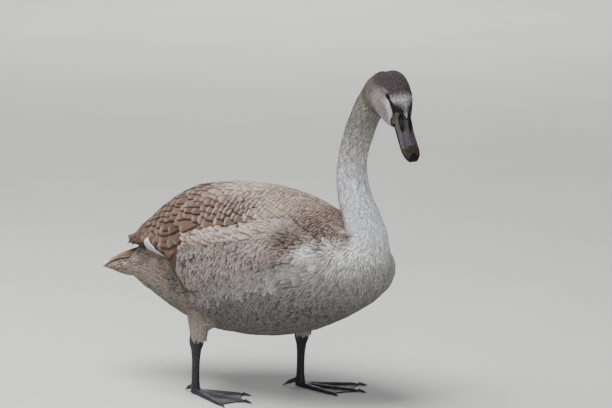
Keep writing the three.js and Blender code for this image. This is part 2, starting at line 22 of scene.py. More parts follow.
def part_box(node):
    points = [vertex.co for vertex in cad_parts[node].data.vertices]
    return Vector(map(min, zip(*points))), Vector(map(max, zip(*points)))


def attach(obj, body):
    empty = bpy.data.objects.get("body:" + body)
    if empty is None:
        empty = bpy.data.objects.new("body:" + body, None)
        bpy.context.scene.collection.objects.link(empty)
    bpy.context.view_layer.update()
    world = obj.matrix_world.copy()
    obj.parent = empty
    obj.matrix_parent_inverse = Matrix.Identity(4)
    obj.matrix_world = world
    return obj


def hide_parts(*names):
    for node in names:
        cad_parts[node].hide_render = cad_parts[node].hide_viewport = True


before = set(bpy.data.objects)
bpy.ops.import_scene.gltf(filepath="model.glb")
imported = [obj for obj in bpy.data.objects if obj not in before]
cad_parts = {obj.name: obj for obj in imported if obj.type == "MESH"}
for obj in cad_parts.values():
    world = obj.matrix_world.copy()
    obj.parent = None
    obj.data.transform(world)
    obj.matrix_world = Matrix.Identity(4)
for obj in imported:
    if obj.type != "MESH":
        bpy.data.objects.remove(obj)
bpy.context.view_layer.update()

LOG = logging.getLogger("swan")

Array = np.ndarray
Colour = tuple[float, float, float]
Draw = np.random.Generator
Material = bpy.types.Material
Mesh = bpy.types.Mesh
Piece = bpy.types.Object
Socket = bpy.types.NodeSocket

MM = 0.001
BREAST_FRONT = 273.0  # mm, the front of the breast in the bird's frame
ORIGIN = np.array((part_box("trunk")[1].x - BREAST_FRONT * MM, 0.0, 0.0))  # the bird's frame in the row's

BODY = "root"
PALE_SLOT = "pale_plumage"
BROWN_SLOT = "brown_plumage"
HEAD_SLOT = "head_plumage"

SIDES = {"right": -1, "left": 1}
TOES = ("inner", "middle", "outer", "hind")

TRUNK_AXIS_Z = 255.0  # mm, the height of the line that the trunk and wings are measured round


# ---------------------------------------------------------------- small helpers


def srgb(red: float, green: float, blue: float) -> Colour:
    """Linear colour from display values of 0 to 255."""
    return tuple((c / 255) ** 2.2 for c in (red, green, blue))


def ramp(low: float, high: float, value: Array) -> Array:
    """Smooth step from 0 at low to 1 at high."""
    share = np.clip((value - low) / (high - low), 0.0, 1.0)
    return share * share * (3 - 2 * share)


def unit(vectors: Array) -> Array:
    """Vectors of length one."""
    return vectors / np.maximum(np.linalg.norm(vectors, axis=-1, keepdims=True), 1e-9)


def hill(*offsets: Array) -> Array:
    """1 where every offset is nought, falling off softly as they grow."""
    return np.exp(-sum(offset**2 for offset in offsets))


def mix(first: Array | Colour, second: Array | Colour, share: Array) -> Array:
    """Colours between two colours, by a share for each."""
    share = np.asarray(share)[..., None]
    return np.asarray(first) * (1 - share) + np.asarray(second) * share


def paint(base: Array | Colour, *layers: tuple[Array | Colour, Array]) -> Array:
    """Colours laid over a base one after another, each by its share."""
    for colour, share in layers:
        base = mix(base, colour, share)
    return base


def cloud(points: Array, size: float, seed: float = 0.0) -> Array:
    """Smooth noise from about -1 to 1 at places in millimetres, with lumps of a given size."""
    scaled = (points / size + seed).tolist()
    return np.array([noise.noise(Vector(p)) for p in scaled]) * 1.6


def to_row(points: Array) -> Array:
    """Places in metres in the row's frame from millimetres in the bird's frame."""
    return points * MM + ORIGIN


def to_bird(points: Array) -> Array:
    """Places in millimetres in the bird's frame from metres in the row's frame."""
    return (points - ORIGIN) / MM


def read_places(mesh: Mesh) -> Array:
    """The vertices of a mesh in millimetres in the bird's frame."""
    flat = np.empty(len(mesh.vertices) * 3, np.float32)
    mesh.vertices.foreach_get("co", flat)
    return to_bird(flat.reshape(-1, 3).astype(float))


def write_places(mesh: Mesh, places: Array) -> None:
    """Moves the vertices of a mesh to places in the bird's frame."""
    mesh.vertices.foreach_set("co", to_row(places).astype(np.float32).ravel())
    mesh.update()


def read_normals(mesh: Mesh) -> Array:
    """The smooth normals at the vertices of a mesh."""
    flat = np.empty(len(mesh.vertices) * 3, np.float32)
    mesh.vertex_normals.foreach_get("vector", flat)
    return unit(flat.reshape(-1, 3).astype(float))


def write_colour(mesh: Mesh, name: str, colours: Array) -> None:
    """Stores a linear colour at each vertex of a mesh."""
    attribute = mesh.attributes.new(name, "FLOAT_COLOR", "POINT")
    rgba = np.concatenate([colours, np.ones((len(colours), 1))], axis=1)
    attribute.data.foreach_set("color", rgba.astype(np.float32).ravel())


def write_vectors(mesh: Mesh, name: str, vectors: Array) -> None:
    """Stores a vector at each vertex of a mesh."""
    attribute = mesh.attributes.new(name, "FLOAT_VECTOR", "POINT")
    attribute.data.foreach_set("vector", vectors.astype(np.float32).ravel())


def select_only(*pieces: Piece) -> None:
    """Makes some objects the only ones selected, and the first of them the active one."""
    bpy.ops.object.select_all(action="DESELECT")
    for piece in pieces:
        piece.select_set(True)
    bpy.context.view_layer.objects.active = pieces[0]


@contextmanager
def editing(piece: Piece, elements: str = "", chosen: Sequence[bool] = ()) -> Iterator[None]:
    """Opens a piece in edit mode for the operators that follow.

    Args:
        piece: the object to edit.
        elements: "vertices" or "polygons" where only some of them are selected, or nothing for all.
        chosen: which of those are selected.
    """
    select_only(piece)
    bpy.ops.object.mode_set(mode="EDIT")
    bpy.ops.mesh.select_all(action="DESELECT" if elements else "SELECT")
    if elements:
        bpy.ops.object.mode_set(mode="OBJECT")
        getattr(piece.data, elements).foreach_set("select", chosen)
        bpy.ops.object.mode_set(mode="EDIT")
    yield
    bpy.ops.object.mode_set(mode="OBJECT")


def add_piece(name: str, data: bpy.types.ID) -> Piece:
    """Puts a new object in the scene."""
    piece = bpy.data.objects.new(name, data)
    bpy.context.collection.objects.link(piece)
    return piece


def apply_modifier(piece: Piece, kind: str, **settings: object) -> None:
    """Adds a modifier with its settings to a piece and applies it.

    Args:
        piece: the object that takes it.
        kind: Blender's name for the kind of modifier.
        settings: values for the modifier's properties.
    """
    select_only(piece)
    modifier = piece.modifiers.new(kind.title(), kind)
    for key, value in settings.items():
        setattr(modifier, key, value)
    bpy.ops.object.modifier_apply(modifier=modifier.name)


def copy_of(nodes: Iterable[str], name: str) -> Piece:
    """One new object with copies of CAD nodes, their loose corners merged.

    Args:
        nodes: the names of the nodes to copy.
        name: the name of the new piece.

    Returns:
        The joined copy, apart from the frame.
    """
    copies = [add_piece(node + "_copy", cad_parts[node].data.copy()) for node in nodes]
    select_only(*copies)
    if len(copies) > 1:
        bpy.ops.object.join()
    joined = bpy.context.view_layer.objects.active
    joined.name = joined.data.name = name
    joined.data.materials.clear()
    with editing(joined):
        bpy.ops.mesh.remove_doubles(threshold=1e-6)
    bpy.ops.object.shade_smooth()
    return joined


def smooth_copy(nodes: Iterable[str], name: str, voxel: float, rounds: int) -> Piece:
    """One new object with copies of CAD nodes closed in a fine smooth surface.

    Args:
        nodes: the names of the nodes to copy.
        name: the name of the new piece.
        voxel: the size of the surface's faces, in metres.
        rounds: how many times it is smoothed.

    Returns:
        The smooth copy.
    """
    piece = copy_of(nodes, name)
    apply_modifier(piece, "REMESH", mode="VOXEL", voxel_size=voxel)
    apply_modifier(piece, "SMOOTH", factor=0.5, iterations=rounds)
    bpy.ops.object.shade_smooth()
    return piece


def fit_out(piece: Piece, material: Material,
            nodes: Sequence[str] = ()) -> None:
    """Gives a piece its material, hides the CAD nodes that it stands for, and lets it ride.

    Args:
        piece: the finished piece.
        material: its only material.
        nodes: the CAD nodes that it replaces.
    """
    piece.data.materials.clear()
    piece.data.materials.append(material)
    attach(piece, BODY)
    if nodes:
        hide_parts(*nodes)
    LOG.info("%s: %d triangles", piece.name, sum(face.loop_total - 2 for face in piece.data.polygons))


# ---------------------------------------------------------------- anatomy


@dataclass(frozen=True)
class HeadFrame:
    """The head's own frame: origin midway between the eyes, x to the bill, y to the left, z to the crown."""

    at: tuple[float, float, float] = (309.6, -40.0, 588.9)
    heading: float = -31.2  # degrees, turned to the bird's right
    pitch: float = -61.7  # degrees, bill down
    roll: float = 1.6  # degrees, left eye down

    @property
    def axes(self) -> Array:
        """The head's x, y and z directions as the columns of a matrix."""
        heading, pitch, roll = (math.radians(v) for v in (self.heading, self.pitch, self.roll))
        level = math.cos(pitch)
        forward = np.array((level * math.cos(heading), level * math.sin(heading), math.sin(pitch)))
        flat_left = np.array((-math.sin(heading), math.cos(heading), 0.0))
        left = flat_left * math.cos(roll) - np.cross(forward, flat_left) * math.sin(roll)
        return np.stack([forward, left, np.cross(forward, left)], axis=1)

    def inside(self, points: Array) -> Array:
        """Places in the head's frame from places in the bird's frame."""
        return (points - np.array(self.at)) @ self.axes

    def outside(self, points: Array) -> Array:
        """Places in the bird's frame from places in the head's frame."""
        return points @ self.axes.T + np.array(self.at)


HEAD = HeadFrame()
EYE_X, EYE_Z = 0.0, 3.0  # the middle of each eye in the head's frame, in mm
# Where each shank enters the thigh.
HOCK_TOP = {"right": (-95.0, -72.0, 119.0), "left": (48.0, 73.0, 119.0)}

# The neck's centre line from the breast to the nape.
NECK_LINE = (
    (205, 0, 232), (220, 0, 275), (222, 0, 312), (213, 0, 350), (200, 0, 384), (192, 0, 420),
    (193.5, -2, 458), (204.5, -5, 497), (220.5, -9, 535), (241, -13, 569), (261, -18, 595),
)
NECK_ROOT = ((215.0, 0.0, 331.0), (0.45, 0.0, 1.0))  # a point and the direction of the neck there
NAPE = ((249.0, -15.0, 574.0), (0.78, -0.2, 0.6))
NAPE_CLEAR_Z = 450.0  # below this height nothing belongs to the head
NECK_REAR_X = 140.0  # behind this place nothing belongs to the neck


@dataclass(frozen=True)
class Border:
    """A line on the bird, given by its value at some places along the body."""

    places: tuple[float, ...]  # mm
    values: tuple[float, ...]

    def __call__(self, x: Array | float) -> Array:
        """The line's value at any places along the body."""
        return np.interp(x, self.places, self.values)


# Borders of the wing's feathers, in degrees up from level round the trunk's axis: their lower edge, the
# edge between the upper ones and those draped over the flank, and the cleft between the wings' tips.
WING_EDGE = Border(
    (-291, -258, -200, -140, -112, -98, -90, -45, 0, 50, 100, 150, 175, 206),
    (5, 12, 9, 4, -6, -16, -26, -20, -12, -7, -2, 4, 14, 30),
)
DRAPE = Border(
    (-258, -200, -140, -110, -97, -82, -49, -17, 25, 52, 86, 117, 148, 180, 206),
    (12, 9, 4, 6, 18, 25, 28, 30, 33, 36, 41, 46, 42, 34, 28),
)
CLEFT = Border((-250, -215, -190, -165), (48.0, 62.0, 76.0, 91.5))


def beyond(points: Array, plane: tuple[tuple[float, ...], tuple[float, ...]]) -> Array:
    """Signed distance of places beyond a plane given by a point and a direction."""
    at, direction = (np.array(v, float) for v in plane)
    return (points - at) @ unit(direction)


def head_share(points: Array) -> Array:
    """1 on the head and 0 elsewhere, with a soft change at the nape."""
    return ramp(-8.0, 8.0, beyond(points, NAPE)) * (points[:, 2] > NAPE_CLEAR_Z)


def neck_share(points: Array) -> Array:
    """1 from the root of the neck upward and 0 on the trunk, with a soft change."""
    near_line = ramp(100.0, 70.0, np.hypot(points[:, 0] - NECK_ROOT[0][0], points[:, 1]))
    return ramp(-14.0, 14.0, beyond(points, NECK_ROOT)) * near_line * (points[:, 0] > NECK_REAR_X)


def turn_of(points: Array) -> Array:
    """Turn of places round the trunk's axis, in degrees up from level, alike on both sides."""
    return np.degrees(np.arctan2(points[:, 2] - TRUNK_AXIS_Z, np.abs(points[:, 1])))


def above_wing_edge(points: Array) -> Array:
    """Degrees of turn by which places lie above the lower border of the wing's feathers."""
    return turn_of(points) - WING_EDGE(points[:, 0])


@dataclass
class Lie:
    """The way that the plumage lies: along the spine from the bill to the tail, as it runs on the surface."""

    reach: float = 34.0  # mm over which the spine's direction is smoothed
    number: int = 140  # stations on the spine
    stations: Array = field(init=False)
    heading: Array = field(init=False)

    def __post_init__(self) -> None:
        """Lays out the spine as close stations from the bill's root to the tip of the tail."""
        head = HEAD.outside(np.array([(x, 0.0, -16.0) for x in (52, 36, 18, 0, -18, -34)]))
        neck = np.array(NECK_LINE[::-1], float)
        trunk = np.array([(x, 0.0, 250.0) for x in range(190, -230, -20)], float)
        tail = np.array([(-250, 0, 236), (-290, 0, 224), (-330, 0, 216), (-360, 0, 212)], float)
        line = np.concatenate([head, neck, trunk, tail])
        steps = np.linalg.norm(np.diff(line, axis=0), axis=1)
        length = np.concatenate([[0.0], np.cumsum(steps)])
        even = np.linspace(0.0, length[-1], self.number)
        self.stations = np.stack([np.interp(even, length, line[:, k]) for k in range(3)], axis=1)
        self.heading = unit(np.gradient(self.stations, axis=0))

    def weights(self, points: Array) -> Array:
        """How much each station counts at each place."""
        gap = ((points[:, None, :] - self.stations[None]) ** 2).sum(axis=2)
        gap -= gap.min(axis=1, keepdims=True)
        share = np.exp(-gap / (2 * self.reach**2))
        return share / share.sum(axis=1, keepdims=True)

    @staticmethod
    def sway(points: Array) -> Array:
        """How far the lie turns downward from the spine's direction on wing, flank and thigh."""
        x, y, z = points.T
        side = ramp(40.0, 80.0, np.abs(y))
        shoulder = hill((x - 128) / 44, (z - 322) / 36) * np.clip((322 - z) / 26, -1.2, 1.6)
        drape = 2.6 * ramp(352.0, 296.0, z) * ramp(128.0, 84.0, x) * ramp(-104.0, -92.0, x) * side
        drape *= ramp(150.0, 215.0, z)
        under = 0.45 * ramp(262.0, 200.0, z) * ramp(250.0, 180.0, x) * ramp(-100.0, -60.0, x) * side
        back = 0.22 * ramp(10.0, -60.0, x) * ramp(290.0, 310.0, z)
        back -= 0.16 * ramp(120.0, 80.0, x) * ramp(-10.0, 30.0, x) * ramp(335.0, 355.0, z)
        thighs = hill((x + 84) / 34) * (y < 0) + hill((x - 50) / 34) * (y > 0)
        thigh = 5.0 * thighs * ramp(172.0, 138.0, z) * ramp(36.0, 52.0, np.abs(y))
        return shoulder + drape + under + back + thigh

    @staticmethod
    def trunk_flow(points: Array) -> Array:
        """The way the body's feathers point: down over the breast, rearward elsewhere."""
        x, _, z = points.T
        breast = ramp(140.0, 250.0, x + 0.3 * (300 - z)) * ramp(345.0, 300.0, z)
        tail = 0.25 * ramp(-240.0, -300.0, x)
        return unit(np.stack([-(1 - breast), np.zeros(len(x)), -breast - tail], axis=1))

    def along(self, points: Array, normals: Array) -> Array:
        """The direction of lie on the surface at places with given normals."""
        neck = np.maximum(neck_share(points), head_share(points))[:, None]
        flow = (self.weights(points) @ self.heading) * neck + self.trunk_flow(points) * (1 - neck)
        flow -= (flow * normals).sum(axis=1, keepdims=True) * normals
        down = np.array((0.0, 0.0, -1.0)) + normals[:, 2:3] * normals
        return unit(unit(flow) + (1 - neck) * self.sway(points)[:, None] * down)

    def unwrap(self, points: Array) -> Array:
        """Place along the spine and turn round it, each from 0 to 1, for laying a surface out flat."""
        share = self.weights(points)
        place = share @ np.linspace(0.0, 1.0, len(self.stations))
        offset = points - share @ self.stations
        flow = unit(share @ self.heading)
        left = unit(np.array((0.0, 1.0, 0.0)) - flow * flow[:, 1:2])
        up = np.cross(left, flow)
        turn = np.arctan2((offset * left).sum(axis=1), (offset * up).sum(axis=1))
        return np.stack([place, turn / (2 * math.pi) + 0.5], axis=1)


LIE = Lie()


# ---------------------------------------------------------------- markings


class Pigment(Enum):
    """Named colours of the plumage and the bare parts."""

    WHITE = srgb(236, 234, 236)
    PALE = srgb(222, 220, 222)
    STONE = srgb(116, 114, 100)
    SMOKE = srgb(100, 92, 88)
    BUFF = srgb(164, 144, 130)
    FAWN = srgb(128, 107, 92)
    BROWN = srgb(102, 81, 69)
    UMBER = srgb(62, 46, 35)
    MOUSE = srgb(62, 55, 57)
    BLACK = srgb(14, 14, 17)
    LILAC = srgb(66, 61, 70)
    MUD = srgb(38, 32, 20)

    @property
    def rgb(self) -> Array:
        """The colour as an array."""
        return np.array(self.value)


@dataclass(frozen=True)
class Markings:
    """The markings that skin and coat share, with some painted shade, as functions of the place on the bird.
    """

    # Height of the lower border of the brown side, in mm.
    brown_edge: Border = Border(
        (-100, -50, 0, 50, 100, 140, 157, 192, 215, 230), (190, 206, 234, 252, 265, 278, 292, 300, 310, 330),
    )

    def side_brown(self, points: Array) -> Array:
        """How brown the back and sides are, from 0 on the underparts to 1."""
        edge = self.brown_edge(points[:, 0]) + 12 * cloud(points, 26.0)
        edge += 8 * cloud(points, 8.0, 2.0)
        return ramp(-28.0, 30.0, points[:, 2] - edge) * ramp(232.0, 214.0, points[:, 0])

    @staticmethod
    def bend(points: Array) -> Array:
        """1 on the dark smooth feathers over the bend of the wing."""
        return hill((points[:, 0] - 132) / 40, (points[:, 2] - 318) / 24)

    @staticmethod
    def underparts(points: Array, blotch: Array) -> Array:
        """Breast and belly: pale in front, beige round the thighs, and darkened towards the floor by painted
        shade, with a greenish-grey stain below.
        """
        x, y, z = points.T
        # Painted shade: the tone falls towards the floor, where less light reaches the lower breast and belly.
        tone = np.interp(z, (112, 140, 180, 220, 262, 300, 330), (0.03, 0.038, 0.065, 0.14, 0.3, 0.58, 0.84))
        under = tone[:, None] * np.array((1.0, 1.0, 0.985)) * (1 + 0.24 * blotch)[:, None]
        # Greenish-grey below: partly a stain, partly more painted shade on the low belly.
        under = mix(under, Pigment.STONE.rgb, 0.3 * ramp(200.0, 130.0, z))
        for at in HOCK_TOP.values():
            near = hill((x - at[0] - 0.2 * (z - at[2])) / 30, (y - at[1]) / 34)
            under = mix(under, Pigment.BUFF.rgb * 0.8, 0.9 * near * ramp(212.0, 170.0, z))
        return under

    @staticmethod
    def back(points: Array, blotch: Array) -> Array:
        """Mantle, shoulders and folded wings: buff in the middle, brown before and behind."""
        x, _, z = points.T
        soft = x + 12 * blotch
        middle = 0.9 * ramp(374.0, 396.0, z) * ramp(-75.0, -25.0, soft) * ramp(110.0, 60.0, x)
        return paint(
            Pigment.FAWN.rgb * 0.4 * (1 + 0.3 * blotch)[:, None],
            (Pigment.BUFF.rgb * 0.75, 0.8 * ramp(30.0, 80.0, soft)),
            (Pigment.BROWN.rgb * 0.85, 0.95 * ramp(25.0, -60.0, soft) * ramp(402.0, 380.0, z)),
            (Pigment.BUFF.rgb * 0.8, middle),
            (Pigment.BROWN.rgb * 0.55, 0.95 * ramp(96.0, 150.0, soft)),
        )

    @staticmethod
    def flank(points: Array) -> Array:
        """The feathers draped over the flank: fawn streaked with dark brown, greyer below."""
        streak = cloud(points * (1.0, 1.0, 0.28), 5.0, 8.0)
        return paint(
            Pigment.FAWN.rgb * 0.68,
            (Pigment.SMOKE.rgb * 0.42, ramp(-0.35, 0.45, streak)),
            (Pigment.STONE.rgb * 0.65, 0.45 * ramp(268.0, 222.0, points[:, 2])),
        )

    @staticmethod
    def rump(points: Array, blotch: Array) -> Array:
        """The body behind the legs: fawn, greyer below, with painted shadow in the recess under the wing."""
        x, y, z = points.T
        fawn = mix(Pigment.FAWN.rgb * 0.8, Pigment.BUFF.rgb * 0.8, ramp(-0.5, 0.5, blotch))
        # Painted shadow in the recess where the wing and flank overhang the rump.
        recess = hill((x + 120) / 19, (z - (226 + 0.75 * (x + 122))) / 38) * (np.abs(y) > 60)
        return paint(
            fawn * np.interp(z, (215, 240, 265), (0.85, 1.0, 1.35))[:, None],
            (Pigment.STONE.rgb * 0.75, 0.75 * ramp(218.0, 160.0, z)),
            (Pigment.UMBER.rgb * 0.45, 0.97 * recess),
        )

    def trunk(self, points: Array) -> Array:
        """Colours of breast, belly, back, flank and rump."""
        x, _, z = points.T
        blotch = cloud(points * (1.0, 1.0, 0.5), 9.0, 3.0)
        above = np.maximum(ramp(292.0, 316.0, z + 6 * blotch), ramp(-92.0, -112.0, x))
        upper = paint(
            self.flank(points),
            (self.back(points, blotch), above),
            (Pigment.BROWN.rgb * 0.35, 0.97 * self.bend(points)),
        )
        crease = hill((beyond(points, NECK_ROOT) + 9) / 8) * ramp(288.0, 304.0, z) * ramp(228.0, 210.0, x)
        return paint(
            self.underparts(points, blotch),
            (upper, self.side_brown(points)),
            (Pigment.BROWN.rgb * 0.8, 0.85 * crease),
            (self.rump(points, blotch), ramp(-92.0, -116.0, x) * ramp(3.0, -2.0, above_wing_edge(points))),
        )

    @staticmethod
    def neck(points: Array) -> Array:
        """Colours of the neck: pale in front and at its foot, greyer above, with a brownish nape; painted
        shade darkens its top under the head and tints it olive.
        """
        z = points[:, 2]
        streak = cloud(points * (1.0, 1.0, 0.22), 3.2, 5.0)
        # Greyer upward in the neck's own colour, and far darker near the head as painted shade under the head.
        tone = np.interp(z, (300, 330, 420, 460, 500, 540, 575), (0.78, 0.87, 0.88, 0.68, 0.42, 0.22, 0.17))
        # Olive tint of the painted shade under the head.
        olive = ramp(440.0, 540.0, z)[:, None] * np.array((0.0, 0.01, 0.14))
        cool = ramp(480.0, 400.0, z)[:, None] * np.array((0.03, 0.015, -0.05))
        line = np.array(NECK_LINE, float)
        behind = ramp(10.0, 34.0, np.interp(z, line[:, 2], line[:, 0]) - points[:, 0])
        nape = behind * ramp(500.0, 330.0, z) * 0.8 + behind * 0.3
        return paint(
            tone[:, None] * (1 - olive) * (1 - cool),
            (Pigment.SMOKE.rgb, 0.6 * ramp(0.0, 0.8, streak) * (0.25 + 0.75 * ramp(340.0, 460.0, z))),
            (Pigment.BROWN.rgb, np.clip(nape, 0.0, 0.9)),
        )

    @staticmethod
    def horn(places: Array) -> Array:
        """How far inside the bare face a place in the head's frame is, in mm: bill and lores."""
        x, y, z = places.T
        brow = np.interp(x, (5, 16, 24, 31, 40, 48, 50), (20.0, 15.5, 11.0, 7.0, 4.0, 0.0, -9.0))
        cheek = np.interp(
            x, (5, 12, 19, 25, 31, 36, 39, 42, 46, 48),
            (3.2, 2.0, 0.4, -1.0, -3.0, -6.0, -13.5, -19.0, -26.0, -60.0),
        )
        top = np.interp(x, (5, 12, 19, 25, 31, 36), (5.0, 5.4, 6.6, 9.0, 14.0, 40.0))
        return np.min([np.abs(y) - brow, z - cheek, top - z, x - 4.0], axis=0)

    @staticmethod
    def eye_corner(x: Array, z: Array) -> Array:
        """How far out a place is from the bare spot between eye and lores, which ends at 1."""
        return np.hypot((x - 5.4) / 4.2, (z - 2.7) / 1.9)

    def head(self, points: Array) -> Array:
        """Colours of the head: mouse-grey crown, whitish forehead and face, beige cheek, and painted shadow
        under the jaw.
        """
        places = HEAD.inside(points)
        x, y, z = places.T
        blotch = cloud(points, 5.0, 2.0)
        streaks = cloud(places * (0.3, 1.0, 1.0), 2.4, 4.0)
        bare = self.horn(places)
        crown_front = 9.0 + 2.5 * blotch
        crown_edge = np.interp(x, (-48, -34, -20, -6, 4), (-24, -18, -6, 3, 7)) + 3.0 * blotch
        crown = ramp(-13.0, 7.0, z - crown_edge) * ramp(8.0, -11.0, x - crown_front)
        forehead = ramp(-7.0, 7.0, x - crown_front) * ramp(2.0, 8.0, z + 0.1 * x)
        brow = mix(srgb(172, 171, 177), srgb(122, 122, 130), ramp(-0.3, 0.7, streaks) * ramp(22.0, 40.0, x))
        face = ramp(-13.0, -3.0, bare + 2 * blotch) * ramp(9.0, 2.0, z - 0.1 * x) * ramp(0.0, 12.0, x)
        chin = ramp(8.0, 30.0, x) * ramp(-14.0, -30.0, z)
        # Painted shadow on the neck under the jaw line.
        jaw = hill((beyond(points, NAPE) - 4.0) / 7.0) * ramp(-20.0, -38.0, z)
        behind_eye = np.hypot((x + 12) / 7, (z - 1.0 - 0.6 * (x + 12)) / 1.5)
        rim = np.hypot((x - EYE_X - 0.6) / 5.6, (z - EYE_Z) / 3.7)
        rim = np.minimum(rim, self.eye_corner(x, z))
        near = ramp(-11.0, -0.5, bare + 1.5 * blotch) * ramp(12.0, 22.0, x) * ramp(46.0, 36.0, x) * (z > 2)
        return paint(
            np.array(srgb(137, 129, 124)) * (1 + 0.12 * blotch)[:, None],
            (srgb(94, 86, 83), 0.85 * ramp(-4.0, -34.0, x + 4 * blotch)),
            (brow, 0.9 * forehead),
            (srgb(206, 205, 208), 0.8 * face),
            (srgb(176, 176, 172), 0.6 * chin),
            (srgb(84, 82, 70), 0.7 * jaw),
            (Pigment.MOUSE.rgb * (1 + 0.38 * streaks)[:, None], crown),
            (srgb(170, 166, 162), 0.3 * ramp(1.4, 0.5, behind_eye) * (np.abs(y) > 20)),
            (Pigment.BLACK.rgb, ramp(1.05, 0.85, rim) * (np.abs(y) > 18)),
            (srgb(58, 58, 64), 0.8 * near),
            (Pigment.BLACK.rgb, 0.96 * ramp(-0.6, 0.6, bare)),
        )

    def colours(self, points: Array) -> Array:
        """The pigment at places anywhere on the plumage, with painted shade under the head and jaw, on the
        underparts and in the rump's recess.
        """
        x, y, z = points.T
        tail = mix(Pigment.FAWN.rgb, Pigment.WHITE.rgb, ramp(-334.0, -346.0, x))
        thigh = ramp(150.0, 132.0, z) * ramp(30.0, 44.0, np.abs(y))
        thigh *= (np.abs(x + 85) < 48) | (np.abs(x - 60) < 48)
        return paint(
            self.trunk(points),
            (tail, ramp(-272.0, -292.0, x) * ramp(268.0, 258.0, z)),
            (self.neck(points), neck_share(points)),
            (Pigment.FAWN.rgb, 0.5 * thigh * (z < 118)),
            (self.head(points), head_share(points)),
        )


MARKINGS = Markings()


# ---------------------------------------------------------------- finishes


class Nodes:
    """A short way to write a material's node tree."""

    def __init__(self, name: str) -> None:
        """Starts an empty material with a shader and an output."""
        self.material = bpy.data.materials.new(name)
        self.material.use_nodes = True
        self.tree = self.material.node_tree
        self.tree.nodes.clear()
        self.shader = self.add("ShaderNodeBsdfPrincipled")
        output = self.add("ShaderNodeOutputMaterial")
        self.tree.links.new(self.shader.outputs[0], output.inputs[0])

    def add(self, kind: str, **settings: object) -> bpy.types.Node:
        """Adds a node of a kind with its settings."""
        node = self.tree.nodes.new(kind)
        for key, value in settings.items():
            setattr(node, key, value)
        return node

    def link(self, output: Socket, target: Socket | float) -> None:
        """Joins an output to an input."""
        self.tree.links.new(output, target)

    def attribute(self, name: str) -> bpy.types.Node:
        """A node that reads an attribute of the piece."""
        return self.add("ShaderNodeAttribute", attribute_name=name)

    def noise(self, size: float, detail: float = 3.0) -> Socket:
        """Noise from 0 to 1 with lumps of a size in metres."""
        node = self.add("ShaderNodeTexNoise")
        node.inputs["Scale"].default_value = 1.0 / size
        node.inputs["Detail"].default_value = detail
        self.link(self.add("ShaderNodeTexCoord").outputs["Object"], node.inputs["Vector"])
        return node.outputs["Fac"]

    def feed(self, socket: Socket, value: object) -> None:
        """Gives an input a socket to follow, a number or a colour."""
        if isinstance(value, Socket):
            self.link(value, socket)
        else:
            socket.default_value = (*value, 1.0) if isinstance(value, tuple) else value

    def maths(self, operation: str, first: object, second: object = 0.0) -> Socket:
        """What an operation makes of two sockets or numbers."""
        node = self.add("ShaderNodeMath", operation=operation)
        for value, socket in zip((first, second), node.inputs):
            self.feed(socket, value)
        return node.outputs[0]

    def swing(self, value: Socket, width: float) -> Socket:
        """Noise from 0 to 1 moved to lie round nought, and made this wide."""
        return self.maths("MULTIPLY", self.maths("SUBTRACT", value, 0.5), width)

    def between(self, value: Socket, low: float, high: float,
                start: float = 0.0, end: float = 1.0) -> Socket:
        """A value brought smoothly from one range to another."""
        node = self.add("ShaderNodeMapRange", interpolation_type="SMOOTHSTEP")
        for socket, number in zip(node.inputs, (value, low, high, start, end)):
            self.feed(socket, number)
        return node.outputs[0]

    def mixed(self, share: object, first: object, second: object, blend: str = "MIX") -> Socket:
        """A colour between two colours by a share."""
        node = self.add("ShaderNodeMix", data_type="RGBA", blend_type=blend)
        for place, value in ((0, share), (6, first), (7, second)):
            self.feed(node.inputs[place], value)
        return node.outputs[2]

    def base(self, colour: Socket, shade: Socket) -> None:
        """Gives the shader a colour, made lighter or darker by a shade."""
        tint = self.add("ShaderNodeCombineColor")
        for socket in tint.inputs[:3]:
            self.link(shade, socket)
        self.link(self.mixed(1.0, colour, tint.outputs[0], "MULTIPLY"), self.shader.inputs["Base Color"])

    def bump(self, height: Socket, distance: float, strength: float) -> None:
        """Raises the surface by a height in metres."""
        node = self.add("ShaderNodeBump")
        node.inputs["Distance"].default_value = distance
        node.inputs["Strength"].default_value = strength
        self.link(height, node.inputs["Height"])
        self.link(node.outputs[0], self.shader.inputs["Normal"])

    def surface(self, roughness: float, specular: float, sheen: float = 0.0, coat: float = 0.0) -> None:
        """Sets the shader's constant gloss, sheen and clear coat."""
        values = {
            "Roughness": roughness, "Specular IOR Level": specular,
            "Sheen Weight": sheen, "Coat Weight": coat,
        }
        for name, value in values.items():
            self.shader.inputs[name].default_value = value


@dataclass(frozen=True)
class PlumageFinish:
    """Feathering: pigment from the markings, paler towards the edges of a vane, with fine barbs."""

    name: str = "plumage"
    roughness: float = 0.9
    sheen: float = 0.03
    fringe: Colour = srgb(214, 205, 204)
    barb_width: float = 0.8  # mm from barb to barb

    def build(self) -> Material:
        """Makes the material.

        Returns:
            A material that reads the attributes pigment and vane.
        """
        nodes = Nodes(self.name)
        vane = nodes.add("ShaderNodeSeparateXYZ")
        nodes.link(nodes.attribute("vane").outputs["Vector"], vane.inputs[0])
        rim, paleness, barb = vane.outputs
        lines = nodes.maths("SINE", nodes.maths("MULTIPLY", barb, 2 * math.pi / self.barb_width))
        grain = nodes.noise(0.0016, 4.0)
        edge = nodes.maths("ADD", rim, nodes.swing(grain, 0.35))
        uneven = nodes.swing(nodes.noise(0.009, 2.0), 0.9)
        pale = nodes.maths("MULTIPLY", nodes.between(nodes.maths("ADD", edge, uneven), 0.3, 1.05), paleness)
        colour = nodes.mixed(pale, nodes.attribute("pigment").outputs["Color"], self.fringe)
        nodes.base(colour, nodes.between(grain, 0.25, 0.75, 0.86, 1.1))
        nodes.bump(nodes.maths("ADD", nodes.maths("MULTIPLY", lines, 0.3), grain), 0.0004, 0.45)
        nodes.surface(self.roughness, 0.1, sheen=self.sheen)
        nodes.shader.inputs["Sheen Roughness"].default_value = 0.5
        return nodes.material


